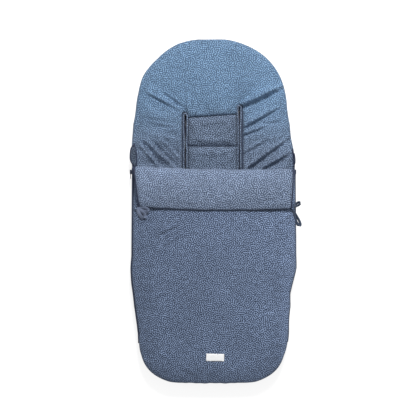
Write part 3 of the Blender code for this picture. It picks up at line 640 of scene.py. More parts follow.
# A much darker copy of the collar's print for the zip ears: painted shade.
EAR_SHADED_COTTON = printed_cotton("ear_cotton_painted_shade", 2.05, (0.018, 0.027, 0.047), (0.117, 0.149, 0.208))
LINING = printed_cotton("inner_cotton", 2.15, (0.075, 0.105, 0.170), (0.275, 0.345, 0.475))
REAR_CLOTH = plain_cloth("rear_weave", (0.030, 0.045, 0.090), (0.060, 0.085, 0.150), 0.0012)
TAPE_CLOTH = plain_cloth("tape_weave", (0.016, 0.024, 0.055), (0.040, 0.055, 0.100), 0.0010)
BINDING = plain_cloth("binding_weave", (0.030, 0.045, 0.085), (0.070, 0.095, 0.150), 0.0010)
COIL = plain_cloth("zip_coil", (0.012, 0.018, 0.045), (0.030, 0.040, 0.080), 0.0012, 0.5, 0.0)
METAL = enamel("zip_enamel", (0.030, 0.035, 0.060), (0.120, 0.125, 0.150))
LABEL_CLOTH = plain_cloth(
    "label_satin", (0.93, 0.935, 0.95), (0.97, 0.975, 0.985), 0.0008, 0.6, 0.1, 0.015
)


# Soft forms


RELAX_ROUNDS = 80
RELAX_PUSH = 1.6


def open_line(points):
    """A line out and back, which counts as closed."""
    points = np.asarray(points)
    return np.r_[points, points[-2:0:-1]]


def folds(piece, segments, low):
    """Raises ridges above a height, each with a valley beside it.

    A segment is a ridge's two ends in pixels of the photograph, its width, its height and the
    side of its valley.
    """
    places = positions(piece)
    up = smooth(facing(piece)[:, 2] / 0.5) * smooth((places[:, 2] - low) / 0.003)
    plan = places[:, :2]
    lift = np.zeros(len(places))
    for x1, y1, x2, y2, width, height, side in segments:
        start, end = np.array(at_pixel(x1, y1)), np.array(at_pixel(x2, y2))
        run = end - start
        length = np.hypot(*run)
        run /= length
        away = plan - start
        along = away @ run / length
        across = away @ np.array((-run[1], run[0]))
        fade = smooth((along + 0.18) / 0.36) * smooth((1.25 - along) / 0.6)
        ridge = np.exp(-((across / width) ** 2))
        valley = np.exp(-(((across - side * 1.7 * width) / (0.9 * width)) ** 2))
        lift += height * fade * (ridge - 0.75 * valley)
    places[:, 2] += lift * up
    move_to(piece, places)


def lay_print_round(piece, crest):
    """Lays the print over the pad: level on top, and carried on round its edge at full size."""
    places = positions(piece)
    plan = places[:, :2]
    nearest = np.empty(len(plan), int)
    for first in range(0, len(plan), PORTION):
        part = plan[first : first + PORTION]
        gap = part[:, None, :] - OUTLINE[None, ::3, :]
        nearest[first : first + PORTION] = (gap * gap).sum(axis=2).argmin(axis=1)
    outward = -OUTLINE_NORMALS[::3][nearest]
    drop = np.maximum(crest - places[:, 2], 0.0)
    turn = np.linspace(0.0, math.pi / 2, 120)
    across, down = COVER_ROUND * np.sin(turn), ROUND_TALL * (1.0 - np.cos(turn))
    arc = run_of(np.c_[across, down])
    extra = np.interp(drop, down, arc - across) + np.maximum(drop - ROUND_TALL, 0.0)
    lay_cloth(piece, np.c_[plan + outward * extra[:, None], np.zeros(len(plan))])


def relax_print(piece):
    """Lets the print slide until each edge of the mesh has its true length in it."""
    cloth = read(piece.data.attributes["cloth"].data, "vector")
    ends = read(piece.data.edges, "vertices", 2, np.int32)
    places = positions(piece)
    seen = facing(piece)[:, 2] > -0.3
    ends = ends[seen[ends].all(axis=1)]
    first, second = ends.T
    true = np.linalg.norm(places[first] - places[second], axis=1)
    count = np.bincount(ends.ravel(), minlength=len(places)).clip(1)
    for _ in range(RELAX_ROUNDS):
        gap = cloth[second, :2] - cloth[first, :2]
        length = np.hypot(gap[:, 0], gap[:, 1]).clip(1e-6)
        push = gap * (0.5 * (1.0 - true / length))[:, None]
        for axis in range(2):
            moved = np.bincount(first, push[:, axis], len(places))
            moved -= np.bincount(second, push[:, axis], len(places))
            cloth[:, axis] += RELAX_PUSH * moved / count
    piece.data.attributes["cloth"].data.foreach_set("vector", cloth.ravel())


def lay_cloth(piece, cloth):
    """Gives each point of the piece its place in the print."""
    attribute = piece.data.attributes.new("cloth", "FLOAT_VECTOR", "POINT")
    attribute.data.foreach_set("vector", np.ascontiguousarray(cloth, dtype=float).ravel())


def lay_rings(piece, rings):
    """Lays the print over a swept body, whose two fan centres come last."""
    rings = np.asarray(rings)
    ends = [rings[0].mean(axis=0), rings[-1].mean(axis=0)]
    lay_cloth(piece, np.r_[rings.reshape(-1, 3), ends])


def second_below(piece, height):
    """Gives the faces that look down, below a height, the piece's second material."""
    for face in piece.data.polygons:
        if face.normal.z < -0.3 and face.center.z < height:
            face.material_index = 1


def surface_of(piece):
    """A function that gives the height of a piece's top at points of the plan."""
    corners = [v.co.copy() for v in piece.data.vertices]
    tree = BVHTree.FromPolygons(corners, [tuple(f.vertices) for f in piece.data.polygons])

    def height(points):
        found = []
        for x, y in points:
            hit = tree.ray_cast(Vector((x, y, 1.0)), Vector((0.0, 0.0, -1.0)))
            found.append(COVER_RIM_Z if hit[0] is None else hit[0].z)
        return np.array(found)

    return height


# Head and wings

CHANNEL_HALF = 0.0677
NOTCH_OUT = SLOT_PANEL_HALF + SEAM_GAP
LEFT_SLOT_TOP = 0.2635
RIGHT_SLOT_TOP = 0.2850
SEAM_TILT = 0.0045


def slot_arch(side, top):
    """The head panel's edge over one slot, from the outer side to the inner."""
    turn = np.linspace(0.0, math.pi, 13)
    x = side * (SLOT_X + NOTCH_OUT * np.cos(turn))
    return np.c_[x, top + NOTCH_OUT * np.sin(turn)]


def head_loop():
    """The head panel's loop, and the part of it that runs round the slots and the channels."""
    low, high = SPLIT_Y + SEAM_GAP, LENGTH / 2
    right = side_run(1.0, SEAM_GAP, low, high)
    left = side_run(-1.0, SEAM_GAP, low, high)[::-1][1:]
    seam = CHANNEL_TOP_Y + 0.0004
    notch = joined(
        (-SLOT_X - NOTCH_OUT, low),
        slot_arch(-1.0, LEFT_SLOT_TOP),
        (-SLOT_X + NOTCH_OUT, seam - SEAM_TILT),
        (SLOT_X - NOTCH_OUT, seam + SEAM_TILT),
        slot_arch(1.0, RIGHT_SLOT_TOP)[::-1],
        (SLOT_X + NOTCH_OUT, low),
    )
    return joined(np.r_[right, left], notch, closed=True), notch


HEAD_LOOP, NOTCH = head_loop()


def head_top(points):
    """It rises from the edge and from the seam round the slots, and sinks under the collar."""
    rise = rounding(distance([OUTLINE], points), 0.040)
    reach = np.where(points[:, 0] > 0.0, 0.024, 0.016)
    seam = rounding(distance([open_line(NOTCH)], points) + 0.0010, reach)
    tucked = 0.15 + 0.85 * rounding(points[:, 1] - SPLIT_Y - 0.004, 0.054)
    hidden = rounding(points[:, 1] - SPLIT_Y + 0.004, 0.014)
    return RIM_Z + 0.0028 + 0.0105 * rise * seam * hidden * tucked


def head_bottom(points):
    return np.full(len(points), RIM_Z)


# Creases of the head and wings, as folds() takes them
HEAD_FOLDS = (
    (148, 92, 179, 108.5, 0.0042, 0.0060, -1),
    (163, 90, 185, 106, 0.0040, 0.0038, -1),
    (139, 143, 160, 168, 0.0054, 0.0085, 1),
    (150, 144, 173, 167, 0.0054, 0.0090, 1),
    (161, 139, 182, 161, 0.0046, 0.0050, 1),
    (242, 104, 280, 86, 0.0064, 0.0120, -1),
    (243, 126, 277, 107, 0.0048, 0.0084, -1),
    (242, 134, 266, 125, 0.0038, 0.0060, -1),
    (246, 168, 289, 136, 0.0052, 0.0092, -1),
    (243, 152, 266, 139, 0.0042, 0.0046, -1),
    (260, 169, 289, 152, 0.0050, 0.0082, -1),
    (240, 78, 240.5, 103, 0.0034, 0.0030, 1),
    (249, 80, 245, 100, 0.0040, 0.0020, 1),
    (186, 82, 187, 108, 0.0034, 0.0022, -1),
    (146, 121, 180, 127, 0.0046, 0.0026, 1),
    (150, 133, 181, 140, 0.0046, 0.0022, 1),
    (176, 42, 184, 58, 0.0050, 0.0020, 1),
    (237, 40, 232, 56, 0.0050, 0.0018, 1),
    (282, 118, 266, 122, 0.0040, 0.0024, -1),
)

head_quilt, held = quilt("head_quilt", [HEAD_LOOP], QUILT_PITCH, head_top, head_bottom, HEAD_COTTON)
inflate(head_quilt, held, pressure=4.0, slack=0.045, cap=0.007)
subdivide(head_quilt)
folds(head_quilt, HEAD_FOLDS, RIM_Z + 0.003)
lay_print_round(head_quilt, RIM_Z + 0.012)
relax_print(head_quilt)
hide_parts("head_and_wings_panel")
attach(head_quilt, "back")


# Centre channels


def channel_quilt(name, puff):
    """One channel, as a pad with rounded corners. The upper one's top seam is tilted."""
    low, high = (corner.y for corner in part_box(name))
    round_in = 0.004
    turn = np.linspace(0.0, math.pi / 2, 4)
    corners = []
    for side, y, start in ((1, high, 0.0), (-1, high, 0.5), (-1, low, 1.0), (1, low, 1.5)):
        centre_x = side * CHANNEL_HALF - side * round_in
        centre_y = y - round_in if y == high else y + round_in
        corners.append(arc(centre_x, centre_y, round_in, math.pi * start + turn))
    loop = along_loop(np.concatenate(corners))
    if name == "upper_channel":
        lean = smooth((loop[:, 1] - low) / (high - low))
        loop[:, 1] += SEAM_TILT * lean * loop[:, 0] / CHANNEL_HALF

    def top(points):
        return RIM_Z + 0.0016 + puff * rounding(distance([loop], points), 0.022)

    piece, held = quilt(name + "_quilt", [loop], CHANNEL_PITCH, top, head_bottom, SEAT_COTTON)
    inflate(piece, held, pressure=4.0, slack=0.03, cap=0.005)
    subdivide(piece)
    lay_print_round(piece, RIM_Z + 0.011)
    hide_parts(name)
    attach(piece, "back")


channel_quilt("upper_channel", 0.0110)
channel_quilt("middle_channel", 0.0110)
channel_quilt("lower_channel", 0.0090)


# Seat panel under the cover

CROTCH = stadium(0.0, CROTCH_LOW_Y, CROTCH_HIGH_Y, SLOT_PANEL_HALF)
SEAT_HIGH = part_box("seat_panel")[1].y
SEAT_LOOP = panel_loop(SEAM_GAP, -LENGTH / 2, SEAT_HIGH)


def seat_top(points):
    """It rises from the edge and from the crotch slot."""
    rise = rounding(distance([SEAT_LOOP, CROTCH], points), 0.030)
    return RIM_Z + 0.0026 + 0.0072 * rise


seat_quilt, held = quilt(
    "seat_quilt", [SEAT_LOOP, CROTCH], HIDDEN_PITCH, seat_top, head_bottom, SEAT_COTTON
)
inflate(seat_quilt, held, pressure=3.0, slack=0.02, cap=0.005)
subdivide(seat_quilt)
lay_print_round(seat_quilt, RIM_Z + 0.010)
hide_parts("seat_panel")
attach(seat_quilt, "back")


# Back shell with its wadding

# The slots: middle, lower end and upper end
SLOT_RUNS = (
    (-SLOT_X, SLOT_LOW_Y, SLOT_HIGH_Y),
    (SLOT_X, SLOT_LOW_Y, SLOT_HIGH_Y),
    (0.0, CROTCH_LOW_Y, CROTCH_HIGH_Y),
)
SLOT_HOLES = [stadium(*run, SLOT_HALF + 0.0009) for run in SLOT_RUNS]
SHELL_LOOP = panel_loop(0.0, -LENGTH / 2, LENGTH / 2)


def shell_top(points):
    return np.full(len(points), RIM_Z - 0.0004)


def shell_bottom(points):
    """It turns up to the edge, and a little to the slots."""
    edge = rounding(distance([OUTLINE], points), REAR_ROUND)
    slots = rounding(distance(SLOT_HOLES, points) + 0.001, 0.012)
    return REAR_RISE * (1.0 - edge) + 0.0012 * (1.0 - slots) + 0.0004


back_shell, _ = quilt(
    "back_shell", [SHELL_LOOP, *SLOT_HOLES], HIDDEN_PITCH, shell_top, shell_bottom, REAR_CLOTH
)
subdivide(back_shell)
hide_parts("rear_fabric", "back_wadding")
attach(back_shell, "back")


# Cover

# Where the collar's fold and hem run: the plain row, then the photograph's columns and their rows
FOLD_LINE = (
    165.9,
    (132, 150, 168, 200, 250, 296),
    (165.2, 166.0, 166.8, 167.8, 168.4, 168.4),
)
HEM_LINE = (
    208.4,
    (132, 139, 150, 165, 190, 218, 250, 291, 296),
    (206.0, 206.2, 207.2, 208.6, 209.5, 210.0, 209.7, 208.7, 208.1),
)


def row_shift(x, line):
    """How far up the muff a line lies from its plain row, at x."""
    plain, columns, rows = line
    column = AXIS_PIXEL[0] + np.asarray(x) / METRES_PER_PIXEL
    return (plain - np.interp(column, columns, rows)) * METRES_PER_PIXEL


def cover_inset(x, y):
    """How far the cover's edge is drawn in from the outline."""
    on_left = 0.0034 + 0.0034 * smooth((y - 0.02) / 0.06)
    on_right = 0.0008 + 0.0026 * smooth((y - 0.055) / 0.05)
    inset = np.where(x < 0.0, on_left, on_right)
    return inset * smooth((y - FOLD_Y + 0.02) / 0.05) + 0.0008


COVER_LOOP = panel_loop(0.0, -LENGTH / 2, COVER_TOP_Y)
loop_x, loop_y = COVER_LOOP.T
COVER_LOOP = np.c_[
    loop_x - np.sign(loop_x) * np.minimum(cover_inset(loop_x, loop_y), np.abs(loop_x)),
    loop_y
    + 0.0016 * smooth((-loop_y - 0.40) / 0.07)
    + row_shift(loop_x, FOLD_LINE) * smooth((loop_y - 0.07) / 0.04),
]

# Above this the cover lies under the collar
UNDER_COLLAR_Y = 0.02


def cover_top(points):
    """It rises from the edge to a slight crown, and is lower under the collar."""
    edge = distance([OUTLINE], points)
    rise = rounding(edge - 0.001, COVER_ROUND)
    crown = COVER_CROWN * (1.0 - np.minimum(1.0, (points[:, 0] / SIDE_HALF) ** 2))
    under = smooth((points[:, 1] - UNDER_COLLAR_Y) / 0.03)
    return COVER_RIM_Z + 0.0024 + (0.0125 + crown * 0.6) * rise - 0.0008 * under


def cover_bottom(points):
    edge = distance([OUTLINE], points)
    return COVER_LOW + 0.0002 + 0.0006 * rounding(edge, 0.02)


COVER_FOLDS = (
    (158, 233, 178, 224, 0.0048, 0.0030, -1),
    (166, 243, 183, 233, 0.0050, 0.0016, -1),
    (276, 224, 292, 213, 0.0046, 0.0024, -1),
    (140, 222, 156, 216, 0.0044, 0.0016, -1),
    (240, 218, 262, 226, 0.0060, 0.0010, 1),
    (146, 300, 168, 290, 0.0070, 0.0012, -1),
    (262, 318, 284, 309, 0.0070, 0.0012, 1),
    (186, 366, 200, 376, 0.0046, 0.0014, 1),
    (232, 372, 240, 362, 0.0046, 0.0014, 1),
    (210, 367, 209, 379, 0.0040, 0.0014, 1),
    (160, 352, 172, 360, 0.0046, 0.0016, 1),
    (262, 360, 272, 350, 0.0046, 0.0014, 1),
)

cover_quilt, held = quilt(
    "cover_quilt", [COVER_LOOP], QUILT_PITCH, cover_top, cover_bottom, COVER_COTTON, LINING
)
held[positions(cover_quilt)[:, 1] > UNDER_COLLAR_Y] = 1.0
inflate(cover_quilt, held, pressure=4.0, slack=0.012, cap=0.006)
subdivide(cover_quilt)
second_below(cover_quilt, COVER_RIM_Z + 0.003)
folds(cover_quilt, COVER_FOLDS, COVER_RIM_Z + 0.003)
lay_print_round(cover_quilt, COVER_TOP_Z)
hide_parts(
    "cover_fabric", "cover_wadding", "cover_lining",
    "toe_fabric", "toe_wadding", "toe_lining",
)
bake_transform(cover_quilt)


# Collar: the cover's top end turned down over it

# Its middle line from the hem round the fold: y, z and half thickness
HEM = (
    (0.0066, 0.0692, 0.0028), (0.0090, 0.0704, 0.0038), (0.0130, 0.0716, 0.0044),
    (0.0300, 0.0745, 0.0055), (0.0550, 0.0760, 0.0062), (0.0800, 0.0755, 0.0060),
    (0.0980, 0.0738, 0.0052), (0.1100, 0.0705, 0.0044), (0.1170, 0.0645, 0.0038),
    (0.1186, 0.0575, 0.0034), (0.1172, 0.0512, 0.0028), (0.1155, 0.0468, 0.0018),
)

# Half widths of the collar at its hem and at its fold
COLLAR_ENDS = {"left": (0.2000, 0.2150), "right": (0.2150, 0.2215)}

COLLAR_FOLDS = (
    (276, 194, 285, 189, 0.0030, 0.0018, -1),
    (277, 190, 288, 201, 0.0030, 0.0020, 1),
    (262, 200, 276, 196, 0.0036, 0.0010, -1),
    (141, 196, 156, 203, 0.0040, 0.0014, 1),
    (140, 180, 152, 186, 0.0046, 0.0010, 1),
    (180, 199, 210, 206, 0.0060, 0.0008, 1),
)


def smooth_line(points, step):
    """A smooth line through the points, by cubic pieces, evenly sampled."""
    points = np.asarray(points, float)
    lengths = np.r_[0.0, np.cumsum(np.linalg.norm(np.diff(points[:, :3], axis=0), axis=1))]
    slopes = np.gradient(points, lengths, axis=0)
    count = max(2, math.ceil(lengths[-1] / step))
    at = np.linspace(0.0, lengths[-1], count + 1)
    found = np.clip(np.searchsorted(lengths, at, side="right") - 1, 0, len(points) - 2)
    span = (lengths[found + 1] - lengths[found])[:, None]
    t = ((at - lengths[found])[:, None]) / span
    first, second = points[found], points[found + 1]
    leave, arrive = slopes[found] * span, slopes[found + 1] * span
    return (
        (2 * t**3 - 3 * t**2 + 1) * first
        + (t**3 - 2 * t**2 + t) * leave
        + (3 * t**2 - 2 * t**3) * second
        + (t**3 - t**2) * arrive
    )


def collar_sweep():
    """The collar's rings from left to right, and the print's places on them."""
    line = smooth_line(HEM, 0.005)
    middle, thick = line[:, :2], line[:, 2]
    along = np.gradient(middle, axis=0)
    along /= np.linalg.norm(along, axis=1)[:, None]
    normal = np.c_[-along[:, 1], along[:, 0]]
    rings, cloth = [], []
    run = run_of(middle)
    runs = np.r_[run, run[::-1]]
    pulls = smooth(1.0 - runs / 0.075)
    folded = smooth((runs - 0.05) / 0.05)
    for x in np.linspace(-COLLAR_HALF, COLLAR_HALF, 79):
        share = max(rounding(COLLAR_HALF - abs(x) + 0.0006, 0.012), 0.15)
        sag = COLLAR_SAG * (1.0 - rounding(SIDE_HALF - abs(x), COVER_ROUND))
        offset = normal * (thick * share)[:, None]
        outer, inner = middle + offset, middle - offset
        hem_wave = 0.0005 * math.sin(x * 41.0) + 0.0004 * math.sin(x * 97.0 + 1.0)
        profile = np.r_[outer, inner[::-1]]
        shifts = folded * row_shift(x, FOLD_LINE)
        profile[:, 0] += pulls * (hem_wave + row_shift(x, HEM_LINE)) + shifts
        share_up = np.clip((profile[:, 0] - 0.005) / 0.115, 0.0, 1.0)
        foot_half, top_half = COLLAR_ENDS["left" if x < 0.0 else "right"]
        wide = x / COLLAR_HALF * (foot_half + (top_half - foot_half) * share_up)
        rings.append(np.c_[wide, profile[:, 0], profile[:, 1] - sag])
        cloth.append(np.c_[np.full(len(runs), x), 0.2 - runs, np.zeros(len(runs))])
    return np.array(rings), np.array(cloth)


def ring_faces(rows, size, closed_rows=False):
    """Faces between rows of points that are rings, one ring to the next."""
    faces = []
    for row in range(rows if closed_rows else rows - 1):
        after = (row + 1) % rows
        for i in range(size):
            j = (i + 1) % size
            faces.append((row * size + i, row * size + j, after * size + j, after * size + i))
    return faces


def swept(name, rings, *materials, also=None):
    """A closed body through the rings, with fans over its two ends. A second body may join it."""
    vertices, faces = [], []
    for body in (rings,) if also is None else (rings, also):
        rows, size = body.shape[:2]
        start = len(vertices)
        vertices.extend(body.reshape(-1, 3))
        vertices.extend((body[0].mean(axis=0), body[-1].mean(axis=0)))
        first, last = rows * size, rows * size + 1
        made = ring_faces(rows, size)
        for i in range(size):
            j = (i + 1) % size
            made.append((first, j, i))
            made.append((last, (rows - 1) * size + i, (rows - 1) * size + j))
        faces.extend(tuple(start + corner for corner in face) for face in made)
    piece = new_object(name, np.array(vertices), faces, *materials)
    face_out(piece)
    return piece


def face_out(piece):
    """Turns the faces outward, judged by the signed volume."""
    work = bmesh.new()
    work.from_mesh(piece.data)
    if work.calc_volume(signed=True) < 0.0:
        bmesh.ops.reverse_faces(work, faces=work.faces)
        work.to_mesh(piece.data)
    work.free()
    piece.data.update()


collar_rings, collar_cloth = collar_sweep()
collar_quilt = swept("collar_quilt", collar_rings, COLLAR_COTTON)
lay_rings(collar_quilt, collar_cloth)
places, normals = positions(collar_quilt), facing(collar_quilt)
free = (normals[:, 2] > 0.25) & (places[:, 1] > 0.016)
free |= (normals[:, 1] > 0.5) & (places[:, 2] > 0.055)
free &= np.abs(places[:, 0]) < COLLAR_HALF - 0.006
held = np.where(free, 0.0, 1.0)
inflate(collar_quilt, held, pressure=3.0, slack=0.02, cap=0.004)
subdivide(collar_quilt)
folds(collar_quilt, COLLAR_FOLDS, 0.066)
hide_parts("collar_fabric", "collar_wadding", "collar_lining")
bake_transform(collar_quilt)


# Corners of the dark strip under the hem (painted shadow): y from the hem's edge, z from its lower
# side
HEM_SHADOW_STRIP = (
    (0.0050, 0.0012), (-0.0008, 0.0016), (-0.0022, 0.0006), (-0.0020, -0.0002), (0.0050, -0.0002),
)


def hem_shadow_strip():
    """A dark binding strip under the collar's hem; its thin dark edge is painted shadow."""
    rings = []
    for ring in collar_rings[2:-2]:
        x, y, _ = ring[0]
        low = ring[-1][2] - 0.0006
        rings.append([(x, y + along, low + up) for along, up in HEM_SHADOW_STRIP])
    piece = swept("collar_hem_shadow", np.array(rings), BINDING)
    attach(piece, "collar")


hem_shadow_strip()


# Zip ends sewn along the collar's two sides

collar_surface = surface_of(collar_quilt)

# The strip's section: shares of its reach outward, and heights
TAPE_EDGE = (
    (-1.2, 0.0010), (0.3, 0.0011), (0.9, 0.0009), (1.0, 0.0),
    (0.9, -0.0009), (0.3, -0.0011), (-1.2, -0.0010),
)


def edge_tape(name, ring, side, reach):
    """A narrow toothed strip sewn along one end of the collar, from its hem to its fold."""
    size = len(ring) // 2
    line = smooth_line((ring[:size] + ring[: size - 1 : -1]) / 2, 0.0012)
    along = np.gradient(line, axis=0)
    along /= np.linalg.norm(along, axis=1)[:, None]
    over = np.c_[np.zeros(len(line)), -along[:, 2], along[:, 1]]
    over /= np.linalg.norm(over, axis=1)[:, None]
    rings = []
    for i, place in enumerate(line):
        tooth = 1.0 if i % 2 else 0.82
        out = np.array((side, 0.0, 0.0))
        rings.append([
            place + out * reach * across * (tooth if across > 0.5 else 1.0) + over[i] * up
            for across, up in TAPE_EDGE
        ])
    piece = swept(name, np.array(rings), COIL)
    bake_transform(piece)


# The left strip reaches further out than the right: its extra dark width is painted shade along
# that side.
edge_tape("left_collar_tape", collar_rings[0], -1.0, 0.0030)
edge_tape("right_collar_tape", collar_rings[-1], 1.0, 0.0024)


# Toe gusset between the back and the cover's foot


def gusset():
    """The gathered strip round the foot, as a body that bows outward."""
    low_part = OUTLINE[:, 1] < FOLD_Y + 0.0085
    right = np.flatnonzero(low_part & (OUTLINE[:, 0] > 0.0005))
    left = np.flatnonzero(low_part & (OUTLINE[:, 0] < -0.0005))
    order = np.r_[right[::-1], [0], left[::-1]]
    path, normal = OUTLINE[order], OUTLINE_NORMALS[order]
    low, high = RIM_Z + 0.0026, COVER_RIM_Z - 0.0006
    profile = []
    for inset, shares in ((0.0042, np.linspace(0.0, 1.0, 7)), (0.0064, np.linspace(1.0, 0.0, 7))):
        for share in shares:
            bow = 0.0030 * math.sin(math.pi * share)
            profile.append((inset - bow, low + (high - low) * share))
    profile = np.array(profile)
    rings, cloth = [], []
    for place, inward, at in zip(path, normal, run_of(path)):
        pucker = 0.0007 * math.sin(at * 230.0) + 0.0005 * math.sin(at * 97.0 + 0.6)
        sides = np.sin(math.pi * (profile[:, 1] - low) / (high - low))
        inset = profile[:, 0] + pucker * sides
        plan = place + inset[:, None] * inward
        rings.append(np.c_[plan, profile[:, 1]])
        cloth.append(np.c_[np.full(len(profile), at), profile[:, 1], np.zeros(len(profile))])
    piece = swept("toe_gusset", np.array(rings), COVER_COTTON)
    lay_rings(piece, cloth)
    return piece


toe_gusset = gusset()
subdivide(toe_gusset)
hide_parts("toe_band")
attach(toe_gusset, "back")


# Rolled welts of the slots


def stadium_path(x, low, high, half, gaps, step=0.004):
    """A slot's ring path. The gaps give the half opening against y."""
    straight = np.linspace(low, high, max(2, math.ceil((high - low) / step)))
    ys, openings = np.array(gaps).T
    right = np.c_[half + np.interp(straight, ys, openings), straight]
    turn = np.linspace(0.0, math.pi, 11)[1:-1]
    top = arc(0.0, high, right[-1, 0], turn)
    foot = arc(0.0, low, -right[0, 0], turn)
    left = right[::-1] * (-1.0, 1.0)
    path = np.r_[right, top, left, foot]
    path[:, 0] += x
    return path


def closed_tube(name, path, across, low, high, sides, *materials, wave=0.0):
    """A ring tube in plan, flat below and round above, made of two rolled plies."""
    out = -inward_normals(path)
    angle = np.linspace(0.0, 2.0 * math.pi, sides, endpoint=False)
    middle = (low + high) / 2
    half = (high - low) / 2
    vertices, cloth = [], []
    for place, side, at in zip(path, out, run_of(path)):
        swell = 1.0 + wave * math.sin(at * 190.0) + wave * 0.6 * math.sin(at * 83.0 + 1.0)
        reach = across * swell * np.sign(np.cos(angle)) * np.abs(np.cos(angle)) ** 0.8
        rise = half * np.sign(np.sin(angle)) * np.abs(np.sin(angle)) ** 0.8
        rise = np.where(rise > 0.0, rise * (0.9 + 0.1 * swell), rise)
        plan = place + reach[:, None] * side
        vertices.append(np.c_[plan, middle + rise])
        cloth.append(np.c_[angle * across * 1.1, np.full(sides, at), np.zeros(sides)])
    faces = ring_faces(len(path), sides, closed_rows=True)
    piece = new_object(name, np.concatenate(vertices), faces, *materials)
    face_out(piece)
    lay_cloth(piece, np.concatenate(cloth))
    return piece


WELT_LOW = RIM_Z + 0.0002
WELT_HALF = 0.0030

# The welts: name, middle, upper end, and the half opening against y
WELTS = (
    ("left_slot_welt", -SLOT_X + 0.0008, LEFT_SLOT_TOP, (
        (0.055, 0.0012), (0.115, 0.0016), (0.170, 0.0016), (0.178, 0.0003),
        (0.197, 0.0002), (0.205, 0.0019), (0.235, 0.0025), (0.268, 0.0018),
    )),
    ("right_slot_welt", SLOT_X - 0.0020, RIGHT_SLOT_TOP, (
        (0.055, 0.0008), (0.165, 0.0010), (0.180, 0.0003), (0.235, 0.0003),
        (0.250, 0.0012), (0.270, 0.0020), (0.284, 0.0018),
    )),
    ("crotch_slot_welt", 0.0, CROTCH_HIGH_Y, ((-0.130, 0.0012), (-0.030, 0.0012))),
)
for name, x, high, gaps in WELTS:
    low = CROTCH_LOW_Y if name.startswith("crotch") else SLOT_LOW_Y
    path = stadium_path(x, low, high, WELT_HALF, gaps)
    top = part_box(name)[1].z
    welt = closed_tube(
        name + "_roll", path, 0.0026, WELT_LOW, top + 0.0022, 12, SEAT_COTTON, wave=0.05
    )
    subdivide(welt)
    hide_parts(name)
    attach(welt, "back")


def slot_lips(name, x, low, high):
    """The rear facing's soft lips, which all but meet inside a slot; their dark coil cloth stands
    in for the shade deep in the slot, as painted shade.
    """
    path = stadium_path(x, low, high, 0.0013, ((low, 0.0), (high, 0.0)), 0.006)
    piece = closed_tube(name, path, 0.00126, 0.0010, 0.0080, 8, COIL, wave=0.02)
    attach(piece, "back")


for lips, run in zip(("left_slot_lips", "right_slot_lips", "crotch_slot_lips"), SLOT_RUNS):
    slot_lips(lips, *run)


# Label with a stitched edge

LABEL_THICK = 0.0008
LABEL_CORNERS = ((206.0, 360.2), (224.0, 360.4), (224.2, 353.2), (206.3, 352.7))
STITCHES_IN = 0.0016


def label_piece():
    """The label as a thin pad that follows the cover, and its edge."""
    loop = along_loop(np.array([at_pixel(*corner) for corner in LABEL_CORNERS]), 0.003)

    def top(points):
        edge = rounding(distance([loop], points), 0.0012)
        return cover_surface(points) + 0.0006 + LABEL_THICK * (0.5 + 0.5 * edge)

    def bottom(points):
        return cover_surface(points) + 0.0003

    piece, _ = quilt("label_tag", [loop], 0.0028, top, bottom, LABEL_CLOTH)
    return piece, loop


cover_surface = surface_of(cover_quilt)
label_tag, label_loop = label_piece()
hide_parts("label")
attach(label_tag, "back")


def stitch_row(name, path, heights, length, gap, width, cloth):
    """Short rounded stitches laid end to end along a line, as one object."""
    lengths = run_of(path)
    starts = np.arange(gap / 2, lengths[-1] - length, length + gap)
    vertices, faces = [], []
    for start in starts:
        at = start + length * np.array((0.0, 0.2, 0.8, 1.0))
        places = np.c_[np.interp(at, lengths, path[:, 0]), np.interp(at, lengths, path[:, 1])]
        run = places[-1] - places[0]
        run /= max(np.hypot(*run), 1e-9)
        side = np.array((-run[1], run[0])) * width / 2
        base = heights(places)
        first = len(vertices)
        for i, (place, z) in enumerate(zip(places, base)):
            share = 0.45 if i in (0, 3) else 1.0
            lift = 0.0 if i in (0, 3) else width * 0.45
            vertices.append((*(place - side * share), z + 0.00005))
            vertices.append((*place, z + 0.00005 + lift + width * 0.15))
            vertices.append((*(place + side * share), z + 0.00005))
            vertices.append((*place, z - width * 0.4))
        for row in range(3):
            for i in range(4):
                j = (i + 1) % 4
                a, b = first + 4 * row, first + 4 * row + 4
                faces.append((a + i, b + i, b + j, a + j))
        faces.append((first, first + 1, first + 2, first + 3))
        last = first + 12
        faces.append((last + 3, last + 2, last + 1, last))
    piece = new_object(name, vertices, faces, cloth)
    face_out(piece)
    return piece


label_middle = label_loop.mean(axis=0)
offsets = np.r_[label_loop, label_loop[:1]] - label_middle
label_stitches = stitch_row(
    "label_stitches",
    label_middle + offsets - np.sign(offsets) * STITCHES_IN,
    surface_of(label_tag),
    length=0.0020,
    gap=0.0008,
    width=0.0006,
    cloth=LABEL_CLOTH,
)
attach(label_stitches, "back")


# Tie bows

KNOTS = {-1.0: (-0.2090, 0.0072), 1.0: (0.2185, 0.0072)}
KNOT_RADIUS = 0.0048
KNOT_TURN = 0.35
RIBBON_HEIGHT = 0.0070
RIBBON_HALF = 0.0016
BOW_TAPE = plain_cloth("bow_tape", (0.085, 0.110, 0.185), (0.190, 0.235, 0.345), 0.0010)


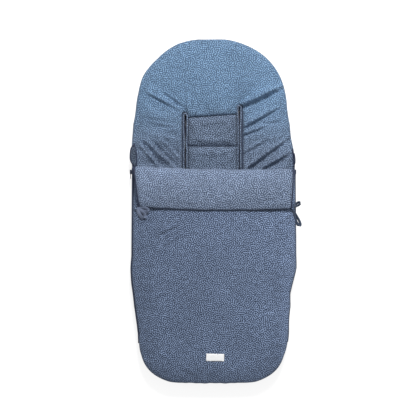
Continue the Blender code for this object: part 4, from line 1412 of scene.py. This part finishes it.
def ribbon(name, points, cloth):
    """A flat tape standing on edge along a smooth line of plan points with heights and leans."""
    line = smooth_line(points, 0.0016)
    plan, low, lean = line[:, :2], line[:, 2], line[:, 3]
    along = np.gradient(plan, axis=0)
    along /= np.maximum(np.hypot(along[:, 0], along[:, 1])[:, None], 1e-9)
    normal = np.c_[-along[:, 1], along[:, 0]]
    section = [(-1.0, up) for up in np.linspace(0.0, 1.0, 6)] + [(0.0, 1.06)]
    section += [(1.0, up) for up in np.linspace(1.0, 0.0, 6)] + [(0.0, -0.06)]
    sides, ups = np.array(section).T
    rings, print_rings = [], []
    for i, (run, share) in enumerate(zip(run_of(plan), np.linspace(0.0, 1.0, len(line)))):
        thin = 0.55 + 0.45 * math.sin(math.pi * min(1.0, share * 0.98 + 0.01)) ** 0.5
        across = sides * RIBBON_HALF * (1.0 - 0.25 * np.abs(ups * 2 - 1) ** 3)
        rise = ups * RIBBON_HEIGHT * thin + (1.0 - thin) * RIBBON_HEIGHT / 2
        place = plan[i] + (across + lean[i] * (rise - RIBBON_HEIGHT / 2))[:, None] * normal[i]
        rings.append(np.c_[place, low[i] + rise])
        print_rings.append(np.c_[np.full(len(ups), run), ups * RIBBON_HEIGHT, np.zeros(len(ups))])
    piece = swept(name, np.array(rings), cloth)
    lay_rings(piece, print_rings)
    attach(piece, "cover")
    return piece


def rest_height(points):
    """The top of what lies under each point: the cover, or the collar over it."""
    on_collar = (np.abs(points[:, 0]) < COLLAR_HALF - 0.002) & (points[:, 1] > 0.0095)
    return np.maximum(cover_surface(points), np.where(on_collar, collar_surface(points), 0.0))


# A loop's shape: shares of its length, and shares of its half width there
LOOP_SHAPE = ((0.30, 0.40), (0.55, 0.80), (0.80, 1.0), (0.95, 0.66), (1.0, 0.0))


def loop_points(knot, tip, width, lift, lean):
    """A drop-shaped loop from the knot to its tip and back."""
    knot, tip = np.asarray(knot), np.asarray(tip)
    reach = math.hypot(*tip)
    along = tip / reach
    across = np.array((-along[1], along[0]))
    shares = [(0.0006, 0.10), (0.004, 0.16)] + [(share * reach, out) for share, out in LOOP_SHAPE]
    shares += [(run, -out) for run, out in shares[-2::-1]]
    points = []
    for run, side in shares:
        place = knot + run * along + side * width / 2 * across
        points.append((*place, 0.0, lean * (1.0 if side >= 0 else -1.0)))
    points = np.array(points)
    base = np.maximum(rest_height(points[:, :2]), COVER_RIM_Z - 0.002)
    points[:, 2] = base + 0.0007 + lift * np.abs(np.sin(np.linspace(0.0, math.pi, len(base))))
    return points


# The loops: name, side, tip seen from the knot, width, lift and lean
BOWS = (
    ("left_bow_inner_loop", -1.0, (0.0325, -0.0072), 0.0100, 0.0030, 1.1),
    ("left_bow_lower_loop", -1.0, (0.0228, -0.0250), 0.0112, 0.0020, 1.1),
    ("right_bow_upper_loop", 1.0, (0.0215, 0.0152), 0.0070, 0.0030, 0.7),
    ("right_bow_lower_loop", 1.0, (0.0215, -0.0485), 0.0080, 0.0015, 0.7),
)
for name, side, tip, width, lift, lean in BOWS:
    cloth = BOW_TAPE if side < 0.0 else BINDING
    made = ribbon(name + "_tape", loop_points(KNOTS[side], tip, width, lift, lean), cloth)
    subdivide(made)
    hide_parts(name)


def knot_piece(side, name):
    """A knot: a round belly of tape with a wrap over it."""
    centre = np.array(KNOTS[side])
    base = float(cover_surface(centre[None])[0])
    rows, around = 15, 22
    rings = []
    for row in range(rows):
        t = row / (rows - 1)
        x = (t - 0.5) * 2.0 * (KNOT_RADIUS + 0.0006)
        belly = math.sqrt(max(0.0, 1.0 - (2.0 * t - 1.0) ** 2)) ** 0.7
        wrap = 1.0 + 0.16 * bell((t - 0.5) / 0.16)
        wrap -= 0.06 * bell((t - 0.24) / 0.07)
        wrap -= 0.06 * bell((t - 0.76) / 0.07)
        ring = []
        for angle in np.linspace(0.0, math.tau, around, endpoint=False):
            crease = 1.0 + 0.07 * math.sin(3.0 * angle + 4.0 * t)
            reach = max(belly, 0.05) * wrap * crease
            out = KNOT_RADIUS * reach * math.cos(angle)
            ring.append((
                centre[0] + x * math.cos(KNOT_TURN) + out * math.sin(KNOT_TURN) * 0.3,
                centre[1] + out,
                base + 0.0036 + 0.0034 * reach * math.sin(angle),
            ))
        rings.append(ring)
    piece = swept(name + "_tied", np.array(rings), COVER_COTTON)
    lay_cloth(piece, positions(piece))
    subdivide(piece)
    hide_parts(name)
    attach(piece, "cover")


knot_piece(-1.0, "left_bow_knot")
knot_piece(1.0, "right_bow_knot")


# Zips: a toothed coil on each tape, and the tape ends that stand as ears

COIL_TOOTH = 0.0012
COIL_REACH = 0.0013
COIL_INSET = {-1.0: 0.0008, 1.0: 0.0020}


def coil(name, side, body):
    """A zip's coil: a rounded strip whose outer face is notched tooth by tooth."""
    low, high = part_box(name)
    kept = side_run(side, COIL_INSET[side], low.y - 0.01, high.y + 0.01)
    ys = np.arange(low.y, high.y, COIL_TOOTH / 2)
    xs = np.interp(ys, kept[:, 1], np.abs(kept[:, 0]))
    xs = np.minimum(xs, (high.x if side > 0 else -low.x) - COIL_REACH)
    middle = (low.z + high.z) / 2
    rings = []
    for i, (x, y) in enumerate(zip(xs, ys)):
        reach, share = (COIL_REACH, 1.0) if i % 2 else (0.0009, 0.72)
        rise = (high.z - low.z) / 2 * share
        rings.append([
            (x + reach, y, middle - rise * 0.6),
            (x + reach, y, middle + rise * 0.6),
            (x + reach * 0.4, y, middle + rise),
            (x - 0.0010, y, middle + rise * 0.8),
            (x - 0.0010, y, middle - rise * 0.8),
            (x + reach * 0.4, y, middle - rise),
        ])
    rings = np.array(rings)
    rings[:, :, 0] *= side
    piece = swept(name + "_coil", rings, COIL)
    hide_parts(name)
    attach(piece, body)


EAR_BORDER = 0.0026


def ear(name, side, outer, inner):
    """The folded end of a zip's tape, between two lines given in pixels of the photograph."""
    lines = [
        smooth_line([(*at_pixel(*pixel), 0.0) for pixel in line], 0.003)[:, :2]
        for line in (outer, inner)
    ]
    loop = np.r_[lines[0], lines[1][::-1]]
    if np.cross(loop, np.roll(loop, -1, axis=0)).sum() < 0:
        loop = loop[::-1]
    under = surface_of(head_quilt)

    def base(points):
        found = under(points)
        return np.where(found > RIM_Z + 0.002, found, RIM_Z + 0.004)

    flat = np.median(base(loop))

    def bottom(points):
        return np.maximum(base(points), flat - 0.002) + 0.0004

    def top(points):
        depth = distance([loop], points)
        return bottom(points) + 0.0016 + 0.0016 * rounding(depth, 0.003)

    # The ear's darker print is painted shade.
    piece, _ = quilt(name + "_fold", [loop], 0.0026, top, bottom, EAR_SHADED_COTTON, COIL)
    laid = positions(piece)
    laid[:, 0] -= side * laid[:, 2]
    lay_cloth(piece, laid)
    relax_print(piece)
    for face in piece.data.polygons:
        if distance([loop], np.array([face.center[:2]]))[0] < EAR_BORDER:
            face.material_index = 1
    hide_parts(name)
    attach(piece, "back")


ear(
    "left_ear",
    -1.0,
    ((134.2, 142.6), (130.8, 147.5), (129.6, 154.0), (130.0, 160.5), (133.2, 166.6)),
    ((134.6, 143.4), (136.0, 149.0), (136.8, 156.0), (137.0, 161.5), (136.2, 167.2)),
)
ear(
    "right_ear",
    1.0,
    ((292.4, 147.5), (294.6, 153.0), (295.6, 160.0), (295.2, 166.5)),
    ((291.8, 148.5), (292.6, 153.0), (293.2, 160.0), (293.0, 167.0)),
)

# The halves of both zips: the start of the node's name, the side and the body
HALVES = [
    (f"{side_name}_{layer}", side, layer)
    for side_name, side in (("left", -1.0), ("right", 1.0))
    for layer in ("back", "cover")
]
for half_name, side, layer in HALVES:
    coil(half_name + "_chain", side, layer)


def along_side(profile, side, ends):
    """Rings that carry a profile of insets and heights along one side."""
    ys = np.linspace(ends[0], ends[1], 110)
    columns = []
    for inset, z in profile:
        kept = side_run(side, inset, ends[0], ends[1])
        columns.append(np.c_[np.interp(ys, kept[:, 1], kept[:, 0]), ys, np.full(len(ys), z)])
    return np.array(columns).transpose(1, 0, 2)


def tape(name, side, body):
    """A zip's tape: it stands along the outline, and the cover's one turns in under the cover."""
    box_low, box_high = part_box(name)
    low, high, ends = box_low.z, box_high.z, (box_low.y, box_high.y)
    upright = ((0.0034, high), (0.0034, low), (0.0022, low), (0.0022, high))
    turned = None
    # The turned part is dark tape that also fills the strip between the cover's edge and the
    # outline, where the cover's shade falls: partly real tape, partly painted shade.
    if body == "cover":
        top = COVER_LOW + 0.0005
        turned = (
            (0.0130, top),
            (0.0130, top - 0.0012),
            (0.0, high - 0.0010),
            (-0.0004, high - 0.0004),
            (0.0001, top),
        )
        turned = along_side(turned, side, ends)
    piece = swept(name + "_strip", along_side(upright, side, ends), TAPE_CLOTH, also=turned)
    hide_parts(name)
    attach(piece, body)


for half_name, side, layer in HALVES:
    tape(half_name + "_tape", side, layer)


# Metal of the zips, and the slots' facings

# How far the left zip's metal moves in, onto the drawn-in coil
LEFT_ZIP_IN = 0.0030


def drawn_in(name, suffix, body):
    """A metal piece of the left zip, set on the drawn-in coil."""
    piece = linked(name + suffix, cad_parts[name].data.copy())
    piece.data.materials.clear()
    piece.data.materials.append(METAL)
    move_to(piece, positions(piece) + (LEFT_ZIP_IN, 0.0, 0.0))
    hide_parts(name)
    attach(piece, body)


drawn_in("left_slider", "_body", "left_slider")
drawn_in("left_pull", "_tab", "left_pull")
drawn_in("left_pull_pin", "_rod", "left_slider")
for cloth, names in (
    (BINDING, ("left_slot_sleeve", "right_slot_sleeve", "crotch_slot_sleeve")),
    (METAL, ("left_zip_stop", "right_zip_stop", "right_slider", "right_pull_pin", "right_pull")),
):
    for name in names:
        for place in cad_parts[name].material_slots:
            place.material = cloth


# Floor, light and camera

FLOOR_HALF = 6.0
FLOOR_GREY = 0.42
FLOOR_GLOW = 0.80
FILL_LEVEL = 0.42
LAMP_POWER = 60.0
LAMP_PLACE = (0.22, 1.65, 1.95)
LAMP_AIM = (0.0, 0.05, 0.05)
LAMP_SIZE = 0.7


def floor():
    """A pale floor, which glows white for the camera and is grey for all other light."""
    made = bpy.data.materials.new("pale_floor")
    made.use_nodes = True
    tree = made.node_tree
    tree.nodes.remove(tree.nodes["Principled BSDF"])
    output = tree.nodes["Material Output"]
    diffuse = node(tree, "ShaderNodeBsdfDiffuse")
    fill(diffuse, Color=(FLOOR_GREY, FLOOR_GREY, FLOOR_GREY, 1.0))
    glow = node(tree, "ShaderNodeEmission")
    path = node(tree, "ShaderNodeLightPath")
    seen = calculated(tree, "MAXIMUM", path.outputs["Is Camera Ray"], path.outputs["Is Glossy Ray"])
    seen = calculated(tree, "MAXIMUM", seen, path.outputs["Is Transmission Ray"])
    strength = calculated(tree, "MULTIPLY", seen, FLOOR_GLOW)
    tree.links.new(strength, glow.inputs["Strength"])
    both = node(tree, "ShaderNodeAddShader")
    tree.links.new(diffuse.outputs[0], both.inputs[0])
    tree.links.new(glow.outputs[0], both.inputs[1])
    tree.links.new(both.outputs[0], output.inputs["Surface"])
    half = FLOOR_HALF
    corners = [(-half, -half, 0.0), (half, -half, 0.0), (half, half, 0.0), (-half, half, 0.0)]
    new_object("floor", corners, [(0, 1, 2, 3)], made)


floor()

world = bpy.data.worlds.new("studio")
bpy.context.scene.world = world
world.use_nodes = True
tree = world.node_tree
sky = tree.nodes["Background"]
fill(sky, Color=(1.0, 1.0, 1.0, 1.0))
path = node(tree, "ShaderNodeLightPath").outputs
shown = calculated(tree, "MAXIMUM", path["Is Camera Ray"], path["Is Transmission Ray"])
shown = ranged(tree, shown, 0.0, 1.0, FILL_LEVEL, 1.0, smoothed=False)
tree.links.new(shown, sky.inputs["Strength"])

lamp = linked("soft_lamp", bpy.data.lights.new("soft_lamp", "AREA"))
lamp.data.shape = "SQUARE"
lamp.data.size = LAMP_SIZE
lamp.data.energy = LAMP_POWER
lamp.location = LAMP_PLACE
aim = Vector(LAMP_AIM) - Vector(LAMP_PLACE)
lamp.rotation_euler = aim.to_track_quat("-Z", "Y").to_euler()

# How far the camera is above the height at which it shows the muff at the photograph's scale
CAMERA_FAR = 4.0
CAMERA_AIM_Z = 0.045
SENSOR_WIDTH = 36.0
camera = linked("camera", bpy.data.cameras.new("camera"))
camera.data.sensor_width = SENSOR_WIDTH
camera.data.sensor_fit = "HORIZONTAL"
camera.data.lens = SENSOR_WIDTH * CAMERA_FAR / (IMAGE_SIDE * METRES_PER_PIXEL)
camera.data.clip_start = 0.1
camera.data.clip_end = 50.0
camera.location = (*at_pixel(IMAGE_SIDE / 2, IMAGE_SIDE / 2), CAMERA_FAR + CAMERA_AIM_Z)
bpy.context.scene.camera = camera
bpy.context.scene.view_settings.view_transform = "Standard"
